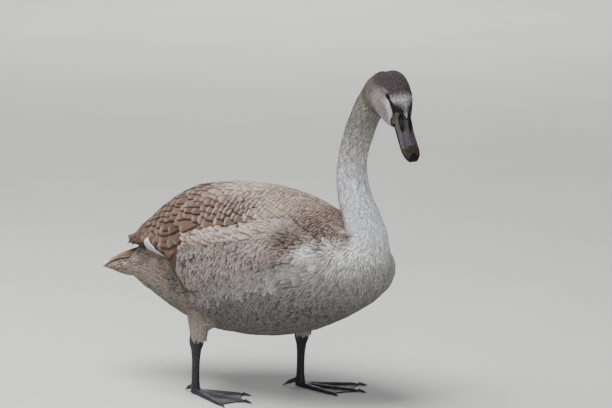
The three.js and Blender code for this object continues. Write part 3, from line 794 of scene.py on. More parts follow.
@dataclass(frozen=True)
class SkinFinish:
    """The downy skin under the coat."""

    name: str = "downy_skin"

    def build(self) -> Material:
        """Makes the material, which reads the attribute pigment."""
        nodes = Nodes(self.name)
        grain = nodes.noise(0.0022, 5.0)
        nodes.base(nodes.attribute("pigment").outputs["Color"], nodes.between(grain, 0.2, 0.8, 0.66, 1.0))
        nodes.bump(grain, 0.0008, 0.6)
        nodes.surface(0.95, 0.08, sheen=0.02)
        return nodes.material


@dataclass(frozen=True)
class HornFinish:
    """Horn and bare skin with painted pigment: satin, finely pitted, with worn streaks."""

    name: str
    roughness: float
    specular: float = 0.45
    pit: float = 0.0011  # metres, size of the fine relief
    relief: float = 0.00025  # metres, height of that relief
    coat: float = 0.0

    def build(self) -> Material:
        """Makes the material, which reads the attribute pigment."""
        nodes = Nodes(self.name)
        fine = nodes.noise(self.pit, 6.0)
        broad = nodes.noise(self.pit * 7, 3.0)
        both = nodes.maths("ADD", nodes.maths("MULTIPLY", fine, 0.5), nodes.maths("MULTIPLY", broad, 0.5))
        nodes.base(nodes.attribute("pigment").outputs["Color"], nodes.between(both, 0.3, 0.7, 0.78, 1.16))
        nodes.bump(fine, self.relief, 0.5)
        nodes.surface(self.roughness, self.specular, coat=self.coat)
        worn = nodes.between(broad, 0.3, 0.7, self.roughness - 0.08, self.roughness + 0.1)
        nodes.link(worn, nodes.shader.inputs["Roughness"])
        return nodes.material


@dataclass(frozen=True)
class EyeFinish:
    """A dark wet eye: black pupil, deep brown iris with fine rays."""

    name: str = "eye_wet"

    def build(self) -> Material:
        """Makes the material, which reads the attribute pigment."""
        nodes = Nodes(self.name)
        rays = nodes.between(nodes.noise(0.0006, 4.0), 0.35, 0.65, 0.0, 0.35)
        colour = nodes.mixed(rays, nodes.attribute("pigment").outputs["Color"], srgb(12, 9, 8))
        nodes.link(colour, nodes.shader.inputs["Base Color"])
        nodes.surface(0.28, 0.16)
        return nodes.material


@dataclass(frozen=True)
class FloorFinish:
    """Matt pale studio floor with a faint cloudiness."""

    name: str = "studio_floor"
    colour: Colour = srgb(192, 192, 189)

    def build(self) -> Material:
        """Makes the material."""
        nodes = Nodes(self.name)
        dark = tuple(c * 0.95 for c in self.colour)
        cloudy = nodes.mixed(nodes.between(nodes.noise(0.6), 0.3, 0.7), dark, self.colour)
        nodes.link(cloudy, nodes.shader.inputs["Base Color"])
        nodes.bump(nodes.noise(0.004, 2.0), 0.0004, 0.2)
        nodes.surface(0.8, 0.2)
        return nodes.material


# ---------------------------------------------------------------- skin


@dataclass
class Surface:
    """A finished mesh as a surface that places can be dropped on."""

    piece: Piece
    tree: BVHTree = field(init=False)
    centres: Array = field(init=False)
    normals: Array = field(init=False)
    areas: Array = field(init=False)

    FAR = 400.0  # mm from the trunk's axis, outside the bird all round

    def __post_init__(self) -> None:
        """Reads the mesh once, in millimetres in the bird's frame."""
        mesh = self.piece.data
        places = read_places(mesh)
        vertex_normals = self.calm(mesh, read_normals(mesh))
        faces = [tuple(face.vertices) for face in mesh.polygons]
        self.tree = BVHTree.FromPolygons(places.tolist(), faces)
        self.centres = np.array([places[list(face)].mean(axis=0) for face in faces])
        self.normals = unit(np.array([vertex_normals[list(face)].mean(axis=0) for face in faces]))
        self.areas = np.array([face.area for face in mesh.polygons]) / MM**2

    @staticmethod
    def calm(mesh: Mesh, normals: Array, rounds: int = 14) -> Array:
        """Normals averaged with their neighbours', so that small folds do not turn what lies on them."""
        ends = np.empty(len(mesh.edges) * 2, np.int32)
        mesh.edges.foreach_get("vertices", ends)
        first, second = ends.reshape(-1, 2).T
        for _ in range(rounds):
            total = normals.copy()
            for axis in range(3):
                total[:, axis] += np.bincount(first, normals[second, axis], len(normals))
                total[:, axis] += np.bincount(second, normals[first, axis], len(normals))
            normals = unit(total)
        return normals

    def nearest(self, points: Array) -> tuple[Array, Array]:
        """Drops places on the surface.

        Args:
            points: places in the bird's frame.

        Returns:
            The nearest places on the surface and the normals there.
        """
        find = self.tree.find_nearest
        hits = [find(p) for p in points.tolist()]
        index = np.array([hit[2] for hit in hits])
        return np.array([tuple(hit[0]) for hit in hits]), self.normals[index]

    def around(self, x: float, turn: float, side: int) -> Array | None:
        """The outermost place at a turn round the trunk's axis, in degrees from level, on one side."""
        angle = math.radians(turn)
        outward = Vector((0.0, side * math.cos(angle), math.sin(angle)))
        axis = Vector((x, 0.0, TRUNK_AXIS_Z))
        hit = self.tree.ray_cast(axis + outward * self.FAR, -outward)
        return None if hit[0] is None else np.array(hit[0])


@dataclass
class Guide:
    """A smooth shell over one folded wing, by place along the body and turn round the trunk's axis.

    It bridges the groove between the wings and goes on in the air past the wing's rear end, so that
    feathers laid on it stay in order.
    """

    surface: Surface
    sign: int
    xs: Array = field(init=False)
    turns: Array = field(init=False)
    radius: Array = field(init=False)

    STEP_X = 4.0  # mm between the grid's places along the body
    STEP_TURN = 2.0  # degrees between its turns
    MANTLE_TOP = 402.0  # mm; what lies higher is the neck
    GROOVE_TURN = 64.0  # degrees above which the groove between the wings is closed
    GROOVE_WIDTH = 15  # turns of the grid that the groove may take up
    REAR = -108.0  # behind this place the shell is held inside the wing's edges, up to the turns below
    REAR_TOP = Border((-290.0, -250.0, -215.0, -190.0), (46.0, 58.0, 74.0, 90.0))

    def __post_init__(self) -> None:
        """Measures the skin round the axis, closes the groove and smooths what was measured."""
        self.xs = np.arange(-300.0, 232.0, self.STEP_X)
        self.turns = np.arange(-46.0, 136.0, self.STEP_TURN)
        half = self.turns[self.turns <= 90]
        raw = np.stack([self.measured(x, half) for x in self.xs])
        for i in np.flatnonzero(np.isnan(raw).any(axis=1))[::-1]:
            raw[i] = raw[min(i + 1, len(raw) - 1)]
        raw = np.concatenate([raw, raw[:, -2::-1][:, : len(self.turns) - len(half)]], axis=1)
        closed = self.window(self.window(raw, self.GROOVE_WIDTH, np.max), self.GROOVE_WIDTH, np.min)
        raw = np.where(self.turns > self.GROOVE_TURN, closed, raw)
        smooth = self.blur(raw, 6)
        over = np.maximum(raw - smooth, 0)
        self.radius = smooth + self.blur(self.window(over, 3, np.max), 3)

    def measured(self, x: float, turns: Array) -> Array:
        """How far the skin is from the axis at turns, all unknown where the ring is too bare."""
        found = np.full(len(turns), np.nan)
        for k, turn in enumerate(turns):
            place = self.surface.around(x, turn, self.sign)
            if place is None or place[2] >= self.MANTLE_TOP:
                continue
            if x < 150 or neck_share(place[None])[0] < 0.1:
                found[k] = math.hypot(place[1], place[2] - TRUNK_AXIS_Z)
        known = np.flatnonzero(~np.isnan(found))
        if len(known) < 4:
            return np.full(len(turns), np.nan)
        held = turns
        if x < self.REAR:
            held = np.clip(turns, WING_EDGE(x) + 2.0, self.REAR_TOP(x))
        return np.interp(held, turns[known], found[known])

    @staticmethod
    def window(grid: Array, size: int, choose: Callable[..., Array]) -> Array:
        """The highest or lowest value of a row's neighbours round it."""
        wide = np.pad(grid, ((0, 0), (size // 2, size // 2)), mode="edge")
        return choose(np.lib.stride_tricks.sliding_window_view(wide, size, axis=1), axis=-1)

    @staticmethod
    def blur(grid: Array, rounds: int) -> Array:
        """The grid averaged with its neighbours, both ways."""
        for _ in range(rounds):
            for axis in (0, 1):
                wide = np.pad(grid, [(1, 1) if k == axis else (0, 0) for k in (0, 1)], mode="edge")
                low, high = (wide[:-2], wide[2:]) if axis == 0 else (wide[:, :-2], wide[:, 2:])
                grid = grid / 2 + (low + high) / 4
        return grid

    def read(self, grid: Array, x: Array, turn: Array) -> Array:
        """Values of a grid between its lines."""
        across = np.clip((x - self.xs[0]) / self.STEP_X, 0, len(self.xs) - 1.001)
        up = np.clip((turn - self.turns[0]) / self.STEP_TURN, 0, len(self.turns) - 1.001)
        i, k = across.astype(int), up.astype(int)
        u, v = across - i, up - k
        low = grid[i, k] * (1 - v) + grid[i, k + 1] * v
        high = grid[i + 1, k] * (1 - v) + grid[i + 1, k + 1] * v
        return low * (1 - u) + high * u

    def place(self, x: Array, turn: Array) -> tuple[Array, Array]:
        """Places on the shell and the normals there, by place along the body and turn in degrees."""
        slope_x, slope_turn = np.gradient(self.radius, self.STEP_X, math.radians(self.STEP_TURN))
        radius = self.read(self.radius, x, turn)
        angle = np.radians(turn)
        cos, sin = np.cos(angle), np.sin(angle)
        down_x, down_turn = self.read(slope_x, x, turn), self.read(slope_turn, x, turn)
        at = np.stack([x, self.sign * radius * cos, TRUNK_AXIS_Z + radius * sin], axis=-1)
        ring = down_turn / radius
        normal = np.stack([-down_x, self.sign * (cos + ring * sin), sin - ring * cos], axis=-1)
        return at, unit(normal)

    def nearest(self, points: Array) -> tuple[Array, Array]:
        """Drops places on the shell, straight towards the axis."""
        turn = np.degrees(np.arctan2(points[:, 2] - TRUNK_AXIS_Z, points[:, 1] * self.sign))
        return self.place(points[:, 0], turn)


@dataclass
class Skin:
    """One skin over all the flesh of the bird, inside its outer form by the coat's depth."""

    voxel: float = 0.0036  # metres, size of the faces
    smoothing: int = 4  # rounds all over
    easing: int = 90  # rounds at the wings' steps
    trunk_depth: float = 3.6  # mm of coat on the trunk
    neck_depth: float = 2.6
    head_depth: float = 1.3
    thin_depth: float = 1.2  # at the tail and the tips of the wings
    nodes: tuple[str, ...] = (
        "trunk", "tail", "neck_lower", "neck_upper", "head", "thigh_right", "thigh_left",
        "wing_right", "wing_left", "wingtip_right", "wingtip_left",
    )

    def depth(self, points: Array) -> Array:
        """The coat's depth at places on the skin."""
        depth = np.full(len(points), self.trunk_depth)
        depth += (self.neck_depth - depth) * neck_share(points)
        depth += (self.head_depth - depth) * head_share(points)
        thin = ramp(-215.0, -250.0, points[:, 0])
        return depth + (self.thin_depth - depth) * thin

    def model(self) -> Piece:
        """Joins, closes and smooths the flesh, and sets it in by the coat's depth.

        Returns:
            The skin, without its material.
        """
        skin = copy_of((*self.nodes, "eye_right", "eye_left"), "skin")
        apply_modifier(skin, "REMESH", mode="VOXEL", voxel_size=self.voxel)
        self.refine_head(skin)
        apply_modifier(skin, "SMOOTH", factor=0.5, iterations=self.smoothing)
        self.ease_step(skin)
        bpy.ops.object.shade_smooth()
        places = read_places(skin.data)
        inward = self.depth(places) - self.furrows(places)
        places -= read_normals(skin.data) * inward[:, None]
        write_places(skin.data, self.face(places))
        return skin

    def bridge(self, skin: Piece) -> None:
        """Raises the skin in the groove between the folded wings."""
        guide = Guide(Surface(skin), -1)
        places = read_places(skin.data)
        x, y, z = places.T
        turn = turn_of(places)
        share = ramp(36.0, 26.0, np.abs(y)) * (z > 296) * ramp(-268.0, -248.0, x) * ramp(178.0, 160.0, x)
        now = np.hypot(y, z - TRUNK_AXIS_Z)
        wanted = np.maximum(now, guide.read(guide.radius, x, turn) - 0.8)
        grown = 1 + share * (wanted / np.maximum(now, 1.0) - 1)
        places[:, 1] = y * grown
        places[:, 2] = TRUNK_AXIS_Z + (z - TRUNK_AXIS_Z) * grown
        write_places(skin.data, places)

    @staticmethod
    def furrows(points: Array) -> Array:
        """Height of the long folds of the neck and the soft waves of breast and flank, in mm."""
        neck = neck_share(points) * (1 - head_share(points))
        along_neck = cloud(points * (1.0, 1.0, 0.16), 7.0, 4.0)
        waves = cloud(points * (0.5, 0.5, 1.0), 13.0, 7.0)
        soft = (1 - neck) * (1 - head_share(points)) * ramp(-260.0, -230.0, points[:, 0])
        return 0.9 * along_neck * neck * ramp(340.0, 420.0, points[:, 2]) + 0.7 * waves * soft

    def ease_step(self, skin: Piece) -> None:
        """Smooths away the step where each wing lies on the flank, and the groove between the wings."""
        x, y, z = read_places(skin.data).T
        edge = np.interp(x, (-80, 10, 90, 190), (200, 222, 258, 277))
        step = ramp(24.0, 10.0, np.abs(z - edge)) * ramp(-88.0, -50.0, x) * ramp(215.0, 195.0, x)
        groove = ramp(34.0, 20.0, np.abs(y)) * (z > 300) * ramp(-285.0, -265.0, x) * ramp(175.0, 150.0, x)
        share = np.maximum(step * (np.abs(y) > 60), groove)
        group = skin.vertex_groups.new(name="step")
        for level in (0.25, 0.5, 0.75, 1.0):
            group.add(np.flatnonzero(share > level - 0.125).tolist(), level, "REPLACE")
        apply_modifier(skin, "SMOOTH", factor=0.5, iterations=self.easing, vertex_group="step")
        skin.vertex_groups.clear()

    def refine_head(self, skin: Piece) -> None:
        """Halves the faces of the head, so that the folds round eye and bill can be shaped."""
        share = head_share(read_places(skin.data)) > 0.5
        chosen = [bool(share[list(face.vertices)].all()) for face in skin.data.polygons]
        with editing(skin, "polygons", chosen):
            bpy.ops.mesh.subdivide(number_cuts=1)

    def face(self, places: Array) -> Array:
        """Shapes the eye hollows, brows, lores and jaw crease on the head."""
        inside = HEAD.inside(places)
        share = head_share(places)
        x, y, z = inside.T
        side = np.sign(y)
        hollow = hill((x - EYE_X - 1) / 10, (z - EYE_Z) / 7.5)
        brow = hill((x - EYE_X) / 12, (z - EYE_Z - 9.5) / 4.5)
        lore = ramp(-0.6, 0.6, MARKINGS.horn(inside))
        cheek = hill((x + 6) / 24, (z + 26) / 20)
        pit = np.exp(-(np.hypot((x - EYE_X) / 4.0, (z - EYE_Z) / 2.9) ** 4))
        lateral = -0.9 * hollow - 1.3 * pit + 0.8 * brow - 0.7 * lore + 0.6 * cheek
        inside[:, 1] += side * lateral * share * ramp(8.0, 16.0, np.abs(y))
        return np.where(share[:, None] > 0, HEAD.outside(inside), places)

    def build(self) -> Surface:
        """Makes, marks and fits out the skin.

        Returns:
            The skin as a surface that the coat is laid on.
        """
        skin = self.model()
        self.bridge(skin)
        write_colour(skin.data, "pigment", MARKINGS.colours(read_places(skin.data)) * 0.82)
        fit_out(skin, SkinFinish().build(), self.nodes)
        return Surface(skin)


# ---------------------------------------------------------------- vanes


class VaneShape(Enum):
    """Outline of a vane: rows of (place along it, share of its width), and how many columns it has."""

    DOWN = (((0.0, 0.6), (0.5, 1.0), (1.0, 0.3)), 3)
    LOCK = (((0.0, 0.5), (0.4, 1.0), (0.78, 0.78), (1.0, 0.26)), 3)
    PLUME = (((0.0, 0.4), (0.4, 0.95), (0.75, 0.9), (0.93, 0.55), (1.0, 0.2)), 5)
    COVERT = (((0.0, 0.4), (0.35, 0.85), (0.7, 1.0), (0.88, 0.93), (0.965, 0.7), (1.0, 0.4)), 5)
    FLIGHT = (
        ((0.0, 0.4), (0.15, 0.8), (0.32, 1.0), (0.5, 1.0), (0.7, 0.98), (0.86, 0.86), (0.95, 0.6), (1.0, 0.3)),
        5,
    )

    @property
    def rows(self) -> Array:
        """The rows as an array of places and widths."""
        return np.array(self.value[0])

    @property
    def columns(self) -> int:
        """Vertices across the vane."""
        return self.value[1]


@dataclass
class Vanes:
    """Many vanes of one shape, each given by its root, lie and sizes, in millimetres."""

    shape: VaneShape
    roots: Array
    lies: Array
    length: Array | float
    width: Array | float
    lift: Array | float  # height of the tip over the skin
    camber: Array | float  # height of the shaft over the edges
    pigment: Array
    fringe: Array | float  # how pale the edge is, 0 to 1
    band: Array | float = 0.75  # share of the length over which the end pales
    sides: float = 0.7  # how far the long edges pale too
    base: float = 0.2  # height of the root over the skin
    curl: Array | float = 0.0  # turn of the tip in the plane of the vane, in radians
    tip_tint: Array | None = None  # colour of the tip, if it differs
    tip_from: float = 0.5  # place along the vane where that colour begins
    loose: float = 0.0  # 1 where vanes hang free of the skin
    facing: Array | None = None  # outward directions of vanes that do not start on the skin
    drape: bool = False  # whether the long edges follow the skin too
    tilt: float = 0.0  # mm by which one long edge lies higher, so that neighbours overlap in order
    ground: Guide | None = None  # what they are laid on, if not the skin itself

    def __post_init__(self) -> None:
        """Gives each vane its own sizes where one number stands for all."""
        for name in ("length", "width", "lift", "camber", "fringe"):
            value = np.asarray(getattr(self, name), float)
            setattr(self, name, np.broadcast_to(value, (len(self.roots),)))


@dataclass
class Coat:
    """A piece of the coat: vanes laid on the skin and joined in one mesh."""

    name: str
    surface: Surface
    places: list[Array] = field(default_factory=list)
    faces: list[Array] = field(default_factory=list)
    pigment: list[Array] = field(default_factory=list)
    vane: list[Array] = field(default_factory=list)
    patch: list[Array] = field(default_factory=list)
    smooth: list[Array] = field(default_factory=list)
    count: int = 0

    PATCH_SIZE = 0.003  # side of a vane's patch in the UV map
    EDGE_TURN = 0.6  # cosine of the turn of the skin that a vane takes for its edge
    EDGE_GAP = (4.0, 0.2)  # mm off the skin that it takes for its edge, and more as a share of its step
    STUB = 0.35  # share of its length that a vane goes on past an edge
    FALL = (-4.0, 2.0)  # mm by which its long edges may leave its own plane

    def lay(self, vanes: Vanes) -> None:
        """Lays vanes on the skin from their roots, following the surface row by row."""
        if len(vanes.roots) == 0:
            return
        rows, columns = vanes.shape.rows, vanes.shape.columns
        ground = vanes.ground or self.surface
        centre, normal = ground.nearest(vanes.roots)
        if vanes.facing is not None:
            centre, normal = vanes.roots, vanes.facing
        lie = vanes.lies
        across = np.linspace(-1.0, 1.0, columns)
        arch = 1.0 - across**2
        made = []
        past = np.zeros((len(centre), 1), bool)  # vanes that have gone past an edge of the skin
        for r, (place, share) in enumerate(rows):
            if r:
                step = vanes.length * (place - rows[r - 1][0])
                free = centre + lie * step[:, None]
                held, turned = ground.nearest(free) if vanes.facing is None else (free, normal)
                if ground is self.surface:
                    past |= (turned * normal).sum(axis=1, keepdims=True) < self.EDGE_TURN
                    gap = self.EDGE_GAP[0] + self.EDGE_GAP[1] * step.max()
                    past |= np.linalg.norm(held - free, axis=1, keepdims=True) > gap
                stub = centre + lie * step[:, None] * self.STUB
                held, turned = np.where(past, stub, held), np.where(past, normal, turned)
                free = np.where(past, stub, free)
                centre = held + (free - held) * vanes.loose
                normal = unit(turned + (normal - turned) * vanes.loose)
            side = unit(np.cross(normal, lie))
            lie = unit(np.cross(side, normal))
            turn = np.asarray(vanes.curl) * (rows[min(r + 1, len(rows) - 1)][0] - place)
            lie = unit(lie + side * np.broadcast_to(turn, len(lie))[:, None])
            height = vanes.base + vanes.lift * place**1.15
            spread = (vanes.width * share / 2)[:, None, None] * across[None, :, None]
            rise = height[:, None] + (vanes.camber * share)[:, None] * arch[None]
            rise = rise + vanes.tilt * share * across
            flat = centre[:, None] + side[:, None] * spread
            if vanes.drape:
                flat = self.dropped(ground, flat, normal)
            made.append(flat + normal[:, None] * rise[..., None])
        self.store(vanes, np.stack(made, axis=1), across)

    def dropped(self, ground: "Surface | Guide", flat: Array, normal: Array) -> Array:
        """Lets the edges of wide vanes follow the ground across their width, where it turns only a little."""
        held, _ = ground.nearest(flat.reshape(-1, 3))
        fall = ((held.reshape(flat.shape) - flat) * normal[:, None]).sum(axis=2, keepdims=True)
        return flat + np.clip(fall, *self.FALL) * normal[:, None]

    def store(self, vanes: Vanes, grid: Array, across: Array) -> None:
        """Keeps a grid of places as closed vanes with their attributes and patches.

        Args:
            vanes: what the grid was made from.
            grid: places by vane, row and column.
            across: the columns' places across the vane, from -1 to 1.
        """
        number, rows, columns = grid.shape[:3]
        along = vanes.shape.rows[:, 0]
        block = np.arange(rows * columns).reshape(rows, columns)
        quads = []
        for r in range(rows - 1):
            low, high = block[r], block[r + 1]
            quads += [(low[c], low[c + 1], high[c + 1], high[c]) for c in range(columns - 1)]
            quads.append((low[columns - 1], low[0], high[0], high[columns - 1]))
        caps = [tuple(block[0][::-1]), tuple(block[-1])]
        start = self.count + np.arange(number)[:, None, None] * (rows * columns)
        self.faces.append((np.array(quads)[None] + start).reshape(-1, 4))
        self.smooth.append(np.tile([q[3] - q[0] == columns and q[1] == q[0] + 1 for q in quads], number))
        self.faces.append((np.array(caps)[None] + start).reshape(-1, columns))
        self.smooth.append(np.zeros(number * 2, bool))
        self.count += number * rows * columns
        self.places.append(grid.reshape(-1, 3))
        tip = vanes.pigment if vanes.tip_tint is None else vanes.tip_tint
        ending = np.tile(ramp(vanes.tip_from, 1.0, along), (number, 1))
        tint = mix(vanes.pigment[:, None], tip[:, None], ending)
        self.pigment.append(np.repeat(tint[:, :, None], columns, axis=2).reshape(-1, 3))
        band = np.broadcast_to(np.asarray(vanes.band, float), (number,))[:, None, None]
        long_edges = vanes.sides * np.abs(across)[None] ** 1.6 * ramp(0.1, 0.5, along)[:, None]
        rim = np.maximum(np.clip(1 - (1 - along[None, :, None]) / band, 0, 1), long_edges[None])
        outward = np.abs(across) * vanes.width[:, None, None] / 2
        barb = along[None, :, None] * vanes.length[:, None, None] + outward
        shape = (number, rows, columns)
        pale = np.broadcast_to(vanes.fringe[:, None, None], shape)
        vane = np.stack([np.broadcast_to(rim, shape), pale, np.broadcast_to(barb, shape)], axis=-1)
        self.vane.append(vane.reshape(-1, 3))
        root = 0.01 + 0.975 * np.clip(LIE.unwrap(vanes.roots), 0.0, 1.0)
        local = np.stack(np.meshgrid(along, (across + 1) / 2, indexing="ij"), axis=-1)
        self.patch.append((root[:, None, None] + local[None] * self.PATCH_SIZE).reshape(-1, 2))

    def build(self, material: Material, slot: str) -> None:
        """Joins the vanes in one mesh with the UV map OFBake, and fits it out.

        Args:
            material: the plumage's finish.
            slot: not used.
        """
        mesh = bpy.data.meshes.new(self.name)
        places = np.concatenate(self.places)
        corners = np.concatenate([group.ravel() for group in self.faces])
        sizes = np.concatenate([np.full(len(group), group.shape[1]) for group in self.faces])
        starts = np.concatenate([[0], np.cumsum(sizes)[:-1]])
        mesh.vertices.add(len(places))
        mesh.loops.add(len(corners))
        mesh.polygons.add(len(sizes))
        mesh.vertices.foreach_set("co", to_row(places).astype(np.float32).ravel())
        mesh.loops.foreach_set("vertex_index", corners.astype(np.int32))
        mesh.polygons.foreach_set("loop_start", starts.astype(np.int32))
        mesh.polygons.foreach_set("use_smooth", np.concatenate(self.smooth))
        mesh.update(calc_edges=True)
        write_colour(mesh, "pigment", np.concatenate(self.pigment))
        write_vectors(mesh, "vane", np.concatenate(self.vane))
        layout = mesh.uv_layers.new(name="OFBake")
        layout.data.foreach_set("uv", np.concatenate(self.patch)[corners].astype(np.float32).ravel())
        fit_out(add_piece(self.name, mesh), material)


@dataclass
class Down:
    """Short locks strewn all over a part of the skin."""

    surface: Surface
    seed: int
    spacing: float  # mm between roots
    length: float
    width: float
    lift: float
    spread: float = 0.12  # radians by which a lock strays from the lie
    contrast: float = 0.1  # how much locks differ in tone
    tip_pale: float = 0.35
    shape: VaneShape = VaneShape.LOCK
    camber: float = 0.07  # height of the shaft as a share of the width
    base: float = -0.25  # height of the roots over the skin

    def strew(self, where: Callable[[Array], Array]) -> Vanes:
        """Scatters locks evenly where a share is above nought.

        Args:
            where: gives the share of locks to keep, 0 to 1, at places on the skin.

        Returns:
            The locks, ready to be laid.
        """
        draw = np.random.default_rng(self.seed)
        share = where(self.surface.centres)
        due = np.cumsum(self.surface.areas * share / self.spacing**2)
        total = int(due[-1])
        chosen = np.searchsorted(due, np.arange(total) + draw.random(total))
        chosen = np.clip(chosen, 0, len(due) - 1)
        normals = self.surface.normals[chosen]
        size = np.sqrt(self.surface.areas[chosen])[:, None]
        stray = draw.normal(size=(total, 3)) * size * 0.45
        stray -= (stray * normals).sum(axis=1, keepdims=True) * normals
        roots = self.surface.centres[chosen] + stray
        lies = LIE.along(roots, normals)
        side = unit(np.cross(normals, lies))
        lies = unit(lies + side * draw.normal(scale=self.spread, size=(total, 1)))
        grow = draw.uniform(0.75, 1.25, total)
        tone = 1 + self.contrast * draw.normal(size=(total, 1))
        pigment = MARKINGS.colours(roots) * np.clip(tone, 0.55, 1.5)
        return Vanes(
            self.shape, roots, lies, self.length * grow, self.width * draw.uniform(0.8, 1.2, total),
            self.lift * draw.uniform(0.6, 1.3, total), self.width * self.camber, pigment,
            self.tip_pale, curl=draw.normal(scale=0.35, size=total), base=self.base,
        )


@dataclass
class Plumage:
    """All the coat: locks on head, neck, trunk and thighs, ordered feathers on wings and tail."""

    surface: Surface
    finish: Material = field(init=False)

    HALVES_MEET = -20.0  # mm, where the pieces of breast and belly meet
    TAIL_ROOT = -328.0  # behind this place only the tail's own feathers grow
    WING_REAR = -90.0  # behind this place the wing stands off the trunk
    CLEFT_REAR, CLEFT_FLOOR = -240.0, 250.0  # behind the one and below the other, the wing hides nothing

    def __post_init__(self) -> None:
        """Makes the finish that every piece shares."""
        self.finish = PlumageFinish().build()

    @staticmethod
    def feathered(points: Array) -> Array:
        """1 where the head grows feathers and 0 on the lores, the eyes and under the bill's root."""
        inside = HEAD.inside(points)
        x, y, z = inside.T
        eye = np.hypot((x - EYE_X) / 5.4, (z - EYE_Z) / 3.6) > 1.0
        clear = eye & (MARKINGS.eye_corner(x, z) > 1.0) | (np.abs(y) < 15)
        return (MARKINGS.horn(inside) < -0.4) & clear

    def build(self) -> None:
        """Makes the pieces of the coat from the head to the tail."""
        self.head()
        self.neck()
        for side, sign in SIDES.items():
            self.trunk(side, sign, True)
            self.trunk(side, sign, False)
            Wing(self.surface, side, sign).build(self.finish)
        Tail(self.surface).build(self.finish)

    def head(self) -> None:
        """The fine feathering of the head."""
        coat = Coat("coat_head", self.surface)
        down = Down(
            self.surface, 11, 1.4, 4.8, 1.25, 0.4, contrast=0.09, tip_pale=0.03, base=0.05,
            shape=VaneShape.DOWN,
        )
        coat.lay(down.strew(lambda p: (head_share(p) > 0.5) * self.feathered(p)))
        coat.build(self.finish, HEAD_SLOT)

    def neck(self) -> None:
        """The close feathering of the neck."""
        coat = Coat("coat_neck", self.surface)
        down = Down(
            self.surface, 12, 2.3, 13.0, 2.2, 0.7, spread=0.09, contrast=0.24, tip_pale=0.15, camber=0.04,
        )
        coat.lay(down.strew(lambda p: (neck_share(p) > 0.5) * (head_share(p) <= 0.5)))
        coat.build(self.finish, PALE_SLOT)

    def trunk(self, side: str, sign: int, fore: bool) -> None:
        """The soft feathering of one side of the breast, or of the belly, rump and thigh behind it."""
        coat = Coat(f"coat_{'breast' if fore else 'belly'}_{side}", self.surface)
        down = Down(self.surface, 20 + sign, 3.5, 16.0, 4.4, 0.9, contrast=0.18, tip_pale=0.25, camber=0.03)

        def here(points: Array) -> Array:
            """The share of locks on this side of the trunk."""
            x, y, z = points.T
            body = (neck_share(points) <= 0.5) & (head_share(points) <= 0.5)
            over = above_wing_edge(points)
            behind = x < self.WING_REAR
            soft = ramp(2.0, 12.0, over) * ramp(205.0, 150.0, x) * ~behind
            wing = behind & (over > -1.0) & ((z > self.CLEFT_FLOOR) | (x > self.CLEFT_REAR))
            rear = wing & (turn_of(points) < CLEFT(x) + 3.0)
            mine = body * (y * sign > 0) * (1 - soft) * ~rear
            return mine * (x > self.TAIL_ROOT) * ((x > self.HALVES_MEET) == fore)

        coat.lay(down.strew(here))
        if not fore:
            coat.lay(self.thigh_tuft(sign))
        coat.build(self.finish, PALE_SLOT)

    def thigh_tuft(self, sign: int) -> Vanes:
        """Loose feathers that hang from the thigh over the top of the shank."""
        draw = np.random.default_rng(40 + sign)
        count = 1700
        top = 58.0  # mm from the hock's top to the highest root
        at = HOCK_TOP["right" if sign < 0 else "left"]
        angle = draw.uniform(0, 2 * math.pi, count)
        height = draw.uniform(0.0, top, count)
        aim = np.stack([np.cos(angle), np.sin(angle), np.zeros(count)], axis=1)
        reach = 13.5 + 0.16 * height  # the thigh is a cone round the shank
        roots = np.array(at) + aim * reach[:, None] + height[:, None] * (0, 0, 1)
        lies = unit(np.array((0.0, 0.0, -1.0)) - 0.12 * aim + draw.normal(scale=0.09, size=(count, 3)))
        pigment = mix(MARKINGS.colours(roots), Pigment.BUFF.rgb, 0.85 * ramp(176.0, 142.0, roots[:, 2]))
        pigment = pigment * draw.uniform(0.85, 1.3, (count, 1))
        return Vanes(
            VaneShape.LOCK, roots, lies, draw.uniform(13, 22, count), draw.uniform(2.6, 4.2, count),
            0.8, 0.2, pigment, 0.3, base=0.0, loose=1.0, facing=aim,
        )


